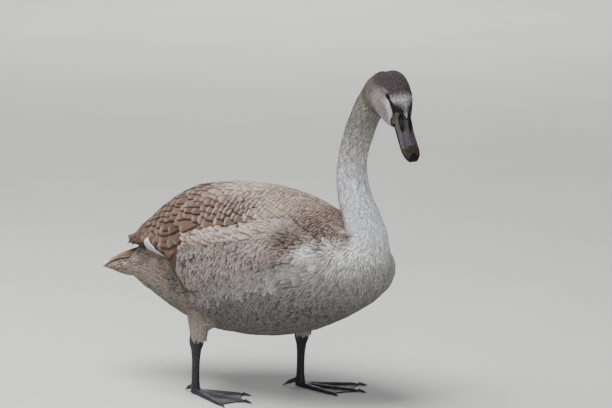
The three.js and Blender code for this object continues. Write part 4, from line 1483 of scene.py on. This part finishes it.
@dataclass
class Wing:
    """The ordered feathers of one folded wing, in rows from its bend to its tips."""

    surface: Surface
    side: str
    sign: int
    guide: Guide = field(init=False)

    # How much of each upper feather shows and how wide it is, in mm.
    shown: Border = Border(
        (-250, -160, -100, -60, -20, 20, 60, 110, 150, 206), (22, 22, 18, 16, 12, 9, 7.5, 5.5, 4.8, 4.5),
    )
    breadth: Border = Border(
        (-250, -160, -100, -60, -20, 20, 60, 110, 150, 206), (24, 25, 28, 28, 26, 24, 21, 18, 15, 12),
    )
    # How far over the drape's edge the upper feathers begin, in degrees.
    clearance: Border = Border((-250, -205, -160, -110), (20, 15, 10, 4))

    NEIGHBOUR = 0.52  # space between the roots of a row, as a share of a feather's width
    MEAN_RADIUS = 135.0  # mm from the trunk's axis

    def __post_init__(self) -> None:
        """Makes the smooth shell that the feathers are laid on."""
        self.guide = Guide(self.surface, self.sign)

    def build(self, finish: Material) -> None:
        """Makes the wing's coat, the draped flank first and the upper feathers over it."""
        draw = np.random.default_rng(60 + self.sign)
        flank = Coat(f"coat_flank_{self.side}", self.surface)
        flank.lay(self.flank(draw))
        flank.lay(self.fringe(draw))
        flank.lay(self.puffs(draw))
        flank.build(finish, BROWN_SLOT)
        upper = Coat(f"coat_wing_{self.side}", self.surface)
        upper.lay(self.primaries(draw))
        for shape, start, end in ((VaneShape.FLIGHT, -20.0, -212.0), (VaneShape.COVERT, 203.0, -20.0)):
            upper.lay(self.upper(draw, shape, start, end))
        upper.lay(self.white_feather())
        upper.build(finish, BROWN_SLOT)

    def rows(self, draw: Draw, start: float, end: float, show: Callable[[float], float],
             width: Callable[[float], float], low: Callable[[float], float], high: Callable[[float], float],
             ragged: float = 0.0) -> Array:
        """Roots of feathers set in rows across the wing, each row shifted by half a feather.

        Args:
            draw: the random numbers to use.
            start: place of the first row along the body, in mm.
            end: place of the last row.
            show: how much of a feather shows at a place.
            width: how wide a feather is at a place.
            low: turn round the trunk of the lowest feather at a place.
            high: turn of the highest.
            ragged: how unevenly the rows begin, in degrees.

        Returns:
            The roots in the bird's frame.
        """
        roots = []
        x, odd = start, 0
        while x > end:
            step = math.degrees(width(x) * self.NEIGHBOUR / self.MEAN_RADIUS)
            turn = low(x) + step * (0.25 + 0.5 * odd) + draw.uniform(-1, 1) * ragged
            while turn < high(x):
                at_x = x + draw.normal() * 0.12 * show(x)
                place = self.guide.place(np.array([at_x]), np.array([turn + draw.normal() * 0.1 * step]))[0]
                if neck_share(place)[0] < 0.3:
                    roots.append(place[0])
                turn += step
            x -= show(x)
            odd = 1 - odd
        return np.array(roots)

    def pigment(self, draw: Draw, roots: Array, contrast: float) -> Array:
        """Each feather's colour, from the markings, a little lighter or darker than its neighbours'."""
        return MARKINGS.colours(roots) * np.clip(1 + contrast * draw.normal(size=(len(roots), 1)), 0.6, 1.5)

    def lay_out(self, draw: Draw, roots: Array, shape: VaneShape, length: Array | float, width: Array | float,
                lift: float, camber: float, fringe: float, contrast: float = 0.1, loose: float = 0.0,
                base: float = 0.0, tilt: float = 0.15) -> Vanes:
        """Feathers of a group with their natural differences.

        Args:
            draw: the random numbers to use.
            roots: where the feathers grow.
            shape: their outline.
            length: their lengths, in mm.
            width: their widths, in mm.
            lift: height of their tips over the skin.
            camber: height of the shaft as a share of the width.
            fringe: how pale their edges are.
            contrast: how much they differ in tone.
            loose: how free of the skin they hang.
            base: height of their roots over the skin.
            tilt: how much higher one long edge lies, in mm.

        Returns:
            The group, ready to be laid.
        """
        count = len(roots)
        _, normals = self.guide.nearest(roots)
        lies = LIE.along(roots, normals)
        side = unit(np.cross(normals, lies))
        lies = unit(lies + side * draw.normal(scale=0.06, size=(count, 1)))
        return Vanes(
            shape, roots, lies,
            length * draw.uniform(0.92, 1.08, count),
            width * draw.uniform(0.9, 1.1, count),
            lift * draw.uniform(0.93, 1.07, count),
            width * camber,
            self.pigment(draw, roots, contrast),
            np.clip(fringe * draw.uniform(0.75, 1.25, count), 0, 1) * (1 - 0.65 * MARKINGS.bend(roots)),
            base=base, curl=draw.normal(scale=0.1, size=count), loose=loose, drape=loose == 0.0, tilt=tilt,
            ground=self.guide,
        )

    def upper(self, draw: Draw, shape: VaneShape, start: float, end: float) -> Vanes:
        """Mantle, shoulder feathers and the long feathers behind them."""
        roots = self.rows(
            draw, start, end, self.shown, self.breadth, lambda x: DRAPE(x) + self.clearance(x), CLEFT,
        )
        x = roots[:, 0]
        show, width = self.shown(x), self.breadth(x)
        length = show * 1.9 + width * 0.5 + np.interp(x, (-200, -170), (22.0, 0.0))
        lift = np.interp(x, (-250, -110, -40, 60, 200), (2.2, 1.8, 1.2, 0.9, 0.75))
        tilt = 0.35 if shape is VaneShape.FLIGHT else 0.15
        group = self.lay_out(draw, roots, shape, length, width, 1.0, 0.006, 0.5, 0.14, tilt=tilt)
        group.lift = group.lift * lift
        level = ramp(-78.0, -100.0, x) * ramp(32.0, 14.0, turn_of(roots))
        group.lies = unit(mix(group.lies, np.array((-1.0, 0.0, 0.02)), level))
        group.band = show / length * 0.8 * draw.uniform(0.6, 1.4, len(x))
        group.fringe = group.fringe * np.interp(x, (-120, -20, 40, 110, 160), (0.3, 0.55, 0.9, 0.8, 0.6))
        group.sides = 0.35
        return group

    def flank(self, draw: Draw) -> Vanes:
        """Long soft feathers that hang over the flank."""
        roots = self.rows(
            draw, 178.0, -92.0, lambda x: 6.5, lambda x: 8.0,
            lambda x: WING_EDGE(x) + np.interp(x, (-92, -60), (4, -5)), lambda x: DRAPE(x) + 2, ragged=4.5,
        )
        return self.lay_out(draw, roots, VaneShape.PLUME, 22.0, 8.5, 0.8, 0.03, 0.36, 0.22)

    def fringe(self, draw: Draw) -> Vanes:
        """Loose ends along the rear edge of the flank."""
        turns = np.repeat(np.linspace(-17, 6, 42), 3)
        count = len(turns)
        roots = self.guide.place(draw.uniform(-92, -78, count), turns + draw.normal(size=count))[0]
        group = self.lay_out(
            draw, roots, VaneShape.LOCK, 24.0, 4.5, 1.2, 0.1, 0.5, 0.16, loose=0.5, base=0.4,
        )
        stray = draw.normal(scale=0.08, size=(count, 3))
        group.lies = unit(np.array((-0.42, -0.05 * self.sign, -0.9)) + stray)
        return group

    def puffs(self, draw: Draw) -> Vanes:
        """Rounded feathers with full pale ends where the shoulder meets the flank."""
        roots = self.rows(
            draw, 66.0, -82.0, lambda x: 7.5, lambda x: 11.0,
            lambda x: DRAPE(x) - 11, lambda x: DRAPE(x) - 1.5,
        )
        count = len(roots)
        size = draw.uniform(0.7, 1.15, count)
        group = self.lay_out(
            draw, roots, VaneShape.PLUME, 24.0 * size, 12.5 * size, 1.1, 0.03, 0.36, 0.14,
            base=0.3, tilt=0.25,
        )
        group.lies = unit(np.array((-0.85, 0.0, 0.12)) + draw.normal(scale=0.17, size=(count, 3)))
        group.pigment = mix(group.pigment, Pigment.BUFF.rgb, 0.15 + 0.45 * ramp(-88.0, -50.0, roots[:, 0]))
        return group

    def primaries(self, draw: Draw) -> Vanes:
        """The ends of the flight feathers at the tip of the wing."""
        turns = np.array((15.0, 22.0, 29.0, 36.0, 43.0, 50.0))
        roots = self.guide.place(np.full(len(turns), -196.0), turns)[0]
        count = len(roots)
        group = self.lay_out(draw, roots, VaneShape.FLIGHT, 88.0, 27.0, 1.2, 0.03, 0.12, 0.05)
        group.pigment = np.tile(Pigment.BROWN.rgb * 0.7, (count, 1)) * draw.uniform(0.9, 1.15, (count, 1))
        return group

    def white_feather(self) -> Vanes:
        """The long whitish feather whose vane shows below the wing's edge."""
        root, normals = self.guide.place(np.array([-146.0]), np.array([6.0]))
        lies = unit(LIE.along(root, normals) + np.array((0.0, 0.0, 0.04)))
        return Vanes(
            VaneShape.COVERT, root, lies, 52.0, 27.0, 5.0, 0.7, np.array([srgb(180, 182, 188)]), 0.4,
            base=3.6, drape=True, ground=self.guide,
        )


@dataclass
class Tail:
    """The fan of tail feathers, above and below, with white ends."""

    surface: Surface
    half: int = 6  # feathers on each side of the middle
    length: float = 84.0
    width: float = 17.0
    levels: int = 2  # layers of feathers, one over the other
    spread: float = 30.0  # mm from the middle to the outermost root
    over: float = 257.0  # mm, a height clear of the tail

    def build(self, finish: Material) -> None:
        """Makes the fan."""
        coat = Coat("coat_tail", self.surface)
        draw = np.random.default_rng(80)
        for level in range(self.levels):
            places = np.linspace(-1, 1, 2 * self.half + 1 - level)
            roots = []
            for place in places:
                for x in (-262.0, -268.0, -274.0, -280.0, -286.0):
                    start = Vector((x - 4.0 * abs(place), self.spread * place, self.over))
                    hit, normal = self.surface.tree.ray_cast(start, Vector((0.0, 0.0, -1.0)))[:2]
                    if hit is not None and normal.z > 0.2:  # from outside, on the upper face
                        roots.append((*hit[:], place))
                        break
            found = np.array(roots)
            count = len(found)
            lies = np.stack([np.full(count, -1.0), 0.14 * found[:, 3], np.full(count, -0.12)], axis=1)
            pigment = np.tile(Pigment.FAWN.rgb, (count, 1)) * draw.uniform(0.6, 0.85, (count, 1))
            coat.lay(Vanes(
                VaneShape.FLIGHT, found[:, :3], unit(lies), self.length - 4.0 * level, self.width,
                draw.uniform(1.0, 2.0, count), 0.8, pigment, 0.3,
                tip_tint=np.tile(Pigment.PALE.rgb, (count, 1)), tip_from=0.75,
                base=0.4 + 0.7 * level, tilt=0.3,
            ))
        coat.build(finish, BROWN_SLOT)


# ---------------------------------------------------------------- eyes, bill and legs


@dataclass
class Eyes:
    """The eyeballs with the bare black rims of their lids, set in the hollows of the skin."""

    surface: Surface
    radius: float = 6.0
    sunk: float = 5.2  # mm from the skin in to the middle of the ball
    opening: tuple[float, float] = (3.4, 2.2)  # half the length and height between the lids
    turns: int = 48

    # Each step of a lid from the feathers to the ball: how far out it is as a share of the opening,
    # how much of its level is the ball's rather than the skin's, and its height over that level.
    profile: tuple[tuple[float, float, float], ...] = (
        (1.5, 0.0, -1.0), (1.36, 0.0, 0.0), (1.24, 0.3, 0.1), (1.13, 0.7, 0.3), (1.05, 1.0, 0.35),
        (0.98, 1.0, 0.3), (0.94, 1.0, -0.3), (1.05, 1.0, -1.6), (1.6, 0.0, -2.2),
    )

    def build(self) -> None:
        """Makes both eyes."""
        round_eye = [(EYE_X + dx, EYE_Z + dz) for dx, dz in ((-6.5, 0), (6.5, 0), (0, -5), (0, 5))]
        for side, sign in SIDES.items():
            depth = self.level(np.array(round_eye), sign).mean() - self.sunk
            self.ball(side, sign, depth)
            self.lid(side, sign, depth)

    def level(self, places: Array, sign: int) -> Array:
        """How far out the skin is at places given by x and z in the head's frame."""
        found = []
        aim = Vector(-HEAD.axes[:, 1] * sign)
        for x, z in places:
            start = HEAD.outside(np.array([(x, sign * 45.0, z)]))[0]
            hit = self.surface.tree.ray_cast(Vector(start), aim)
            found.append(abs(HEAD.inside(np.array([tuple(hit[0])]))[0, 1]))
        return np.array(found)

    def ball(self, side: str, sign: int, depth: float) -> None:
        """An eyeball with a pupil and an iris, looking outward and a little ahead."""
        middle = np.array((EYE_X, sign * depth, EYE_Z))
        at = to_row(HEAD.outside(middle[None]))[0]
        bpy.ops.mesh.primitive_uv_sphere_add(segments=36, ring_count=24, radius=self.radius * MM, location=at)
        piece = bpy.context.object
        piece.name = piece.data.name = f"eyeball_{side}"
        bpy.ops.object.transform_apply(location=True, rotation=True, scale=True)
        bpy.ops.object.shade_smooth()
        off = HEAD.inside(read_places(piece.data)) - middle
        look = unit(np.array((0.12, sign * 1.0, 0.02)))
        angle = np.degrees(np.arccos(np.clip(unit(off) @ look, -1, 1)))
        pupil, ring = ramp(24.0, 28.0, angle), ramp(36.0, 44.0, angle)
        colours = paint(srgb(4, 4, 5), (srgb(30, 21, 16), pupil), (srgb(12, 10, 10), ring))
        write_colour(piece.data, "pigment", colours)
        fit_out(piece, EyeFinish().build(), (f"eye_{side}",))

    def lid(self, side: str, sign: int, depth: float) -> None:
        """The rim of the lids: an almond ring from the skin to the ball, longest towards the bill."""
        angle = np.linspace(0, 2 * math.pi, self.turns, endpoint=False)
        ahead, behind = np.maximum(np.cos(angle), 0), np.maximum(-np.cos(angle), 0)
        stretch = 1 + 0.3 * ahead**8 + 0.16 * behind**8
        long, high = self.opening
        rings = []
        for out, share, rise in self.profile:
            x = EYE_X + long * out * stretch * np.cos(angle)
            z = EYE_Z + high * out * np.sin(angle)
            skin = self.level(np.stack([x, z], axis=1), sign)
            flat = np.hypot(x - EYE_X, z - EYE_Z)
            ball = depth + np.sqrt(np.maximum(self.radius**2 - flat**2, 4.0))
            y = skin + (ball - skin) * share + rise
            rings.append(np.stack([x, sign * y, z], axis=1))
        grid = HEAD.outside(np.stack(rings, axis=1).reshape(-1, 3))
        steps = len(self.profile)
        faces = [
            (k * steps + t, k * steps + (t + 1) % steps, (k + 1) % self.turns * steps + (t + 1) % steps,
             (k + 1) % self.turns * steps + t)
            for k in range(self.turns) for t in range(steps)
        ]
        mesh = bpy.data.meshes.new(f"eyelid_{side}")
        mesh.from_pydata(to_row(grid).tolist(), [], faces)
        piece = add_piece(mesh.name, mesh)
        with editing(piece):
            bpy.ops.mesh.normals_make_consistent(inside=False)
        apply_modifier(piece, "SUBSURF", levels=1, render_levels=1)
        bpy.ops.object.shade_smooth()
        write_colour(mesh, "pigment", np.tile(Pigment.BLACK.rgb, (len(mesh.vertices), 1)))
        fit_out(piece, HornFinish(f"lid_skin_{side}", 0.5).build())


@dataclass
class Bill:
    """The bill and the bare lores: a horn shell over the bill's solids and the front of the head."""

    voxel: float = 0.0009  # metres, size of the faces
    rounds: int = 10  # of smoothing
    nostril_at: tuple[float, float] = (53.0, 8.9)  # x and y in the head's frame, in mm
    nostril_long: float = 18.0
    nostril_high: float = 5.0
    nail_at: float = 125.0
    nail_size: tuple[float, float] = (17.0, 11.0)
    shell: float = 0.0014  # metres

    def build(self) -> None:
        """Makes the culmen with the lores, and the mandible."""
        finish = HornFinish("bill_horn", 0.5, specular=0.28, coat=0.04).build()
        culmen = smooth_copy(("bill_upper", "bill_lower", "head"), "culmen", self.voxel, self.rounds)
        self.trim(culmen)
        mandible = smooth_copy(("bill_lower",), "mandible", self.voxel, self.rounds)
        reliefs = {"bill_upper": (culmen, self.upper_relief), "bill_lower": (mandible, self.lower_relief)}
        for node, (piece, relief) in reliefs.items():
            inside = HEAD.inside(read_places(piece.data))
            normals = read_normals(piece.data) @ HEAD.axes
            height = relief(inside, normals)
            write_places(piece.data, HEAD.outside(inside + normals * height[:, None]))
            if piece is culmen:
                apply_modifier(piece, "SOLIDIFY", thickness=self.shell, offset=-1.0)
                inside = HEAD.inside(read_places(piece.data))
            write_colour(piece.data, "pigment", self.colours(inside, piece is culmen))
            fit_out(piece, finish, (node,))

    def trim(self, piece: Piece) -> None:
        """Takes away all that is not bare: the feathered head and the mandible."""
        inside = HEAD.inside(read_places(piece.data))
        keep = (MARKINGS.horn(inside) > -1.2) & (inside[:, 2] > self.gape(inside[:, 0]))
        with editing(piece, "vertices", ~keep):
            bpy.ops.mesh.delete(type="VERT")
            bpy.ops.mesh.select_all(action="SELECT")
            bpy.ops.mesh.delete_loose()

    @staticmethod
    def gape(x: Array) -> Array:
        """The height of the slit between the two halves of the bill."""
        heights = (-60, -60, -14.5, -14.6, -13.4, -11.9, -11.6, -12.5)
        return np.interp(x, (30, 39, 48, 56, 80, 104, 114, 125), heights)

    def nostril(self, inside: Array) -> Array:
        """How deep in the nostril's furrow a place is, 0 to 1."""
        x, y, z = inside.T
        along = (x - self.nostril_at[0]) / self.nostril_long
        off = np.abs(y) - (self.nostril_at[1] - 0.06 * (x - self.nostril_at[0]))
        return ramp(1.1, 0.75, np.hypot(along, off / self.nostril_high)) * (z > -9)

    def nail(self, inside: Array, soft: float = 0.06) -> Array:
        """1 on the nail at the tip."""
        away = np.hypot((inside[:, 0] - self.nail_at) / self.nail_size[0], inside[:, 1] / self.nail_size[1])
        return ramp(1 + soft, 1 - soft, away)

    def upper_relief(self, inside: Array, normals: Array) -> Array:
        """Height of the relief over the plain form: ridge, nostrils, lip, nail and a thin rear edge."""
        x, y, _ = inside.T
        above = ramp(-0.1, 0.4, normals[:, 2])
        ridge = 0.7 * hill(y / 3.4) * ramp(106.0, 70.0, x) * ramp(46.0, 54.0, x)
        furrow = -0.7 * hill((np.abs(y) - 8.0) / 3.2) * ramp(50.0, 66.0, x) * ramp(106.0, 84.0, x)
        sideways = ramp(0.35, 0.7, np.abs(normals[:, 1]))
        lip = 0.6 * ramp(0.2, -0.3, normals[:, 2]) * sideways * ramp(46.0, 60.0, x)
        groove = -0.4 * (self.nail(inside, 0.16) - self.nail(inside, 0.02)) * (self.nail(inside) < 0.5)
        edge = -1.5 * ramp(1.4, -1.0, MARKINGS.horn(inside)) - 0.5 * ramp(46.0, 30.0, x)
        pit = -2.2 * ramp(0.3, 1.0, self.nostril(inside))
        return above * (ridge + furrow + pit + 0.7 * self.nail(inside) + groove) + lip + edge

    def lower_relief(self, inside: Array, normals: Array) -> Array:
        """Height of the relief under the mandible: the soft middle between its two branches."""
        x, y, _ = inside.T
        return -0.9 * hill(y / 5.0) * ramp(104.0, 92.0, x) * ramp(-0.3, -0.8, normals[:, 2])

    def colours(self, inside: Array, upper: bool) -> Array:
        """Lilac-grey horn with black lores, edges, nostrils and nail, and a muddy tip."""
        x, y, z = inside.T
        outer = HEAD.outside(inside)
        lump = cloud(outer, 4.0, 1.0)
        fine = cloud(outer, 1.6, 6.0)
        line = cloud(outer, 2.4, 9.0)
        black = Pigment.BLACK.rgb
        over_gape = z - self.gape(x)
        wedge = ramp(74.0, 54.0, x + 5 * lump) * ramp(12.0, 14.0, np.abs(y))
        wedge = wedge * ramp(2.5, 4.5, over_gape + 0.5 * line)
        colours = paint(
            Pigment.LILAC.rgb,
            (srgb(40, 38, 44), 0.8 * ramp(76.0, 52.0, x + 4 * lump)),
            (srgb(76, 71, 61), 0.85 * wedge),
            (Pigment.SMOKE.rgb, 0.35 * ramp(-0.2, 0.7, fine)),
        )
        if upper:
            lip = 6.6 + 0.06 * np.maximum(x - 78.0, 0)
            crest = hill(y / 2.2) * ramp(112.0, 60.0, x)
            bare = MARKINGS.horn(inside)
            start = 31.0 + 0.6 * np.maximum(3.6 - z, 0) + 1.1 * np.maximum(z - 3.6, 0)
            colours = paint(
                colours,
                (black, 0.92 * ramp(lip, lip - 1.6, over_gape + 0.8 * line) * (x > 40)),
                (black, self.nostril(inside)),
                (Pigment.SMOKE.rgb, 0.5 * crest),
                (black, ramp(2.4, 1.2, bare + 0.4 * line) * ramp(60.0, 50.0, x)),
                (black, 0.97 * ramp(2.0, -1.5, x + 1.2 * line - start) * ramp(50.0, 46.0, x)),
            )
        else:
            colours = mix(colours, black, 0.8)
        muddy = ramp(90.0, 101.0, x + 8 * lump) * ramp(-0.8, 0.1, fine + 0.3)
        rust = ramp(94.0, 102.0, x + 4 * lump) * ramp(0.1, 0.6, line) * ramp(118.0, 110.0, x)
        return paint(
            colours,
            (Pigment.MUD.rgb, 0.9 * muddy),
            (srgb(84, 52, 22), 0.3 * rust),
            (black, 0.95 * self.nail(inside)),
        )


@dataclass
class Legs:
    """Bare shanks and webbed feet with their scales, and the claws."""

    voxel: float = 0.0012  # metres, size of the faces
    rounds: int = 5  # of smoothing
    top: float = 114.0  # mm, height from which the hock runs up into the thigh's feathers
    tuck: float = 12.0  # mm by which it does
    scale_size: float = 3.0

    def build(self) -> None:
        """Makes both legs."""
        skin = HornFinish("leg_scales", 0.55, specular=0.35, pit=0.0016, relief=0.0003).build()
        horn = HornFinish("claw_horn", 0.35, specular=0.5).build()
        for side in SIDES:
            self.leg(side, skin)
            self.claws(side, horn)

    def leg(self, side: str, finish: Material) -> None:
        """One shank and foot in one piece."""
        nodes = (f"shank_{side}", f"foot_{side}")
        piece = smooth_copy(nodes, f"leg_{side}", self.voxel, self.rounds)
        places = read_places(piece.data)
        normals = read_normals(piece.data)
        z = places[:, 2]
        places[:, 2] = np.where(z > self.top, z + self.tuck * ramp(self.top, self.top + 2.0, z), z)
        cells = (places * (1, 1, 0.8) / self.scale_size).tolist()
        scale = np.array([noise.voronoi(Vector(cell))[0][:2] for cell in cells])
        edge = ramp(0.02, 0.28, scale[:, 1] - scale[:, 0])
        bare = ramp(0.8, 2.2, z)
        places += normals * ((edge - 0.6) * 0.32 * bare)[:, None]
        write_places(piece.data, places)
        worn = 0.4 * ramp(0.1, 0.8, cloud(places, 12.0)) * ramp(60.0, 5.0, z)
        tone = paint(srgb(52, 51, 60), (srgb(28, 27, 32), 1 - edge), (srgb(70, 62, 52), worn))
        write_colour(piece.data, "pigment", tone)
        fit_out(piece, finish, nodes)

    def claws(self, side: str, finish: Material) -> None:
        """The four claws of a foot, smoothed."""
        for toe in TOES:
            node = f"claw_{side}_{toe}"
            piece = copy_of((node,), f"talon_{side}_{toe}")
            apply_modifier(piece, "SUBSURF", levels=2, render_levels=2)
            bpy.ops.object.shade_smooth()
            colour = np.tile(srgb(34, 31, 32), (len(piece.data.vertices), 1))
            write_colour(piece.data, "pigment", colour)
            fit_out(piece, finish, (node,))


# ---------------------------------------------------------------- studio


@dataclass(frozen=True)
class Lamp:
    """A square soft lamp aimed at the bird, unless another place is given."""

    name: str
    at: tuple[float, float, float]
    size: float  # metres
    power: float  # watts
    aim_at: tuple[float, float, float] = (0.0, 0.0, 0.3)

    def hang(self) -> None:
        """Puts the lamp in the scene."""
        data = bpy.data.lights.new(self.name, "AREA")
        data.size = self.size
        data.energy = self.power
        lamp = add_piece(self.name, data)
        lamp.location = self.at
        lamp.rotation_euler = (Vector(self.aim_at) - Vector(self.at)).to_track_quat("-Z", "Y").to_euler()


@dataclass(frozen=True)
class Studio:
    """Floor, soft light and camera."""

    target: tuple[float, float, float] = (62.25, 56.75, 356.2)  # mm, in the bird's frame
    azimuth: float = 30.0  # degrees from the bird's right side towards its front
    elevation: float = 10.0  # degrees
    distance: float = 5500.0  # mm
    focal_pixels: float = 2941.0
    picture_width: float = 612.0
    film_width: float = 36.0
    floor_size: float = 60.0  # metres
    air: tuple[float, float, float, float] = (0.80, 0.83, 0.88, 1.0)
    air_strength: float = 0.34
    lamps: tuple[Lamp, ...] = (
        Lamp("overhead", (-0.6, -0.8, 3.0), 2.2, 205.0),
        Lamp("front_fill", (2.6, -3.2, 2.2), 2.4, 66.0),
        Lamp("far_floor", (-3.4, 5.8, 3.6), 4.0, 330.0, (-3.6, 6.2, 0.0)),
    )

    def build(self) -> None:
        """Sets up the studio."""
        self.floor()
        self.lights()
        self.camera()

    def floor(self) -> None:
        """A wide plain floor."""
        bpy.ops.mesh.primitive_plane_add(size=self.floor_size, location=(0.0, 0.0, 0.0))
        floor = bpy.context.object
        floor.name = floor.data.name = "floor"
        floor.data.materials.append(FloorFinish().build())

    def lights(self) -> None:
        """Pale air all round, a broad lamp above, a weaker one in front and one on the far floor."""
        world = bpy.data.worlds.new("studio_air")
        bpy.context.scene.world = world
        world.use_nodes = True
        air = world.node_tree.nodes["Background"]
        air.inputs[0].default_value = self.air
        air.inputs[1].default_value = self.air_strength
        for lamp in self.lamps:
            lamp.hang()

    def camera(self) -> None:
        """The camera, on a sphere round its target."""
        azimuth, elevation = math.radians(self.azimuth), math.radians(self.elevation)
        back = np.array((
            math.sin(azimuth) * math.cos(elevation),
            -math.cos(azimuth) * math.cos(elevation),
            math.sin(elevation),
        ))
        data = bpy.data.cameras.new("camera")
        data.sensor_width = self.film_width
        data.lens = self.focal_pixels / self.picture_width * self.film_width
        data.clip_end = 100.0
        camera = add_piece("camera", data)
        camera.location = to_row(np.array(self.target) + back * self.distance)
        camera.rotation_euler = Vector(-back).to_track_quat("-Z", "Y").to_euler()
        bpy.context.scene.camera = camera


def main() -> None:
    """Builds the studio and the bird in order."""
    logging.basicConfig(level=logging.INFO, format="%(name)s: %(message)s")
    bpy.ops.object.select_all(action="DESELECT")
    Studio().build()
    surface = Skin().build()
    Plumage(surface).build()
    Eyes(surface).build()
    Bill().build()
    Legs().build()


if __name__ == "__main__":
    main()
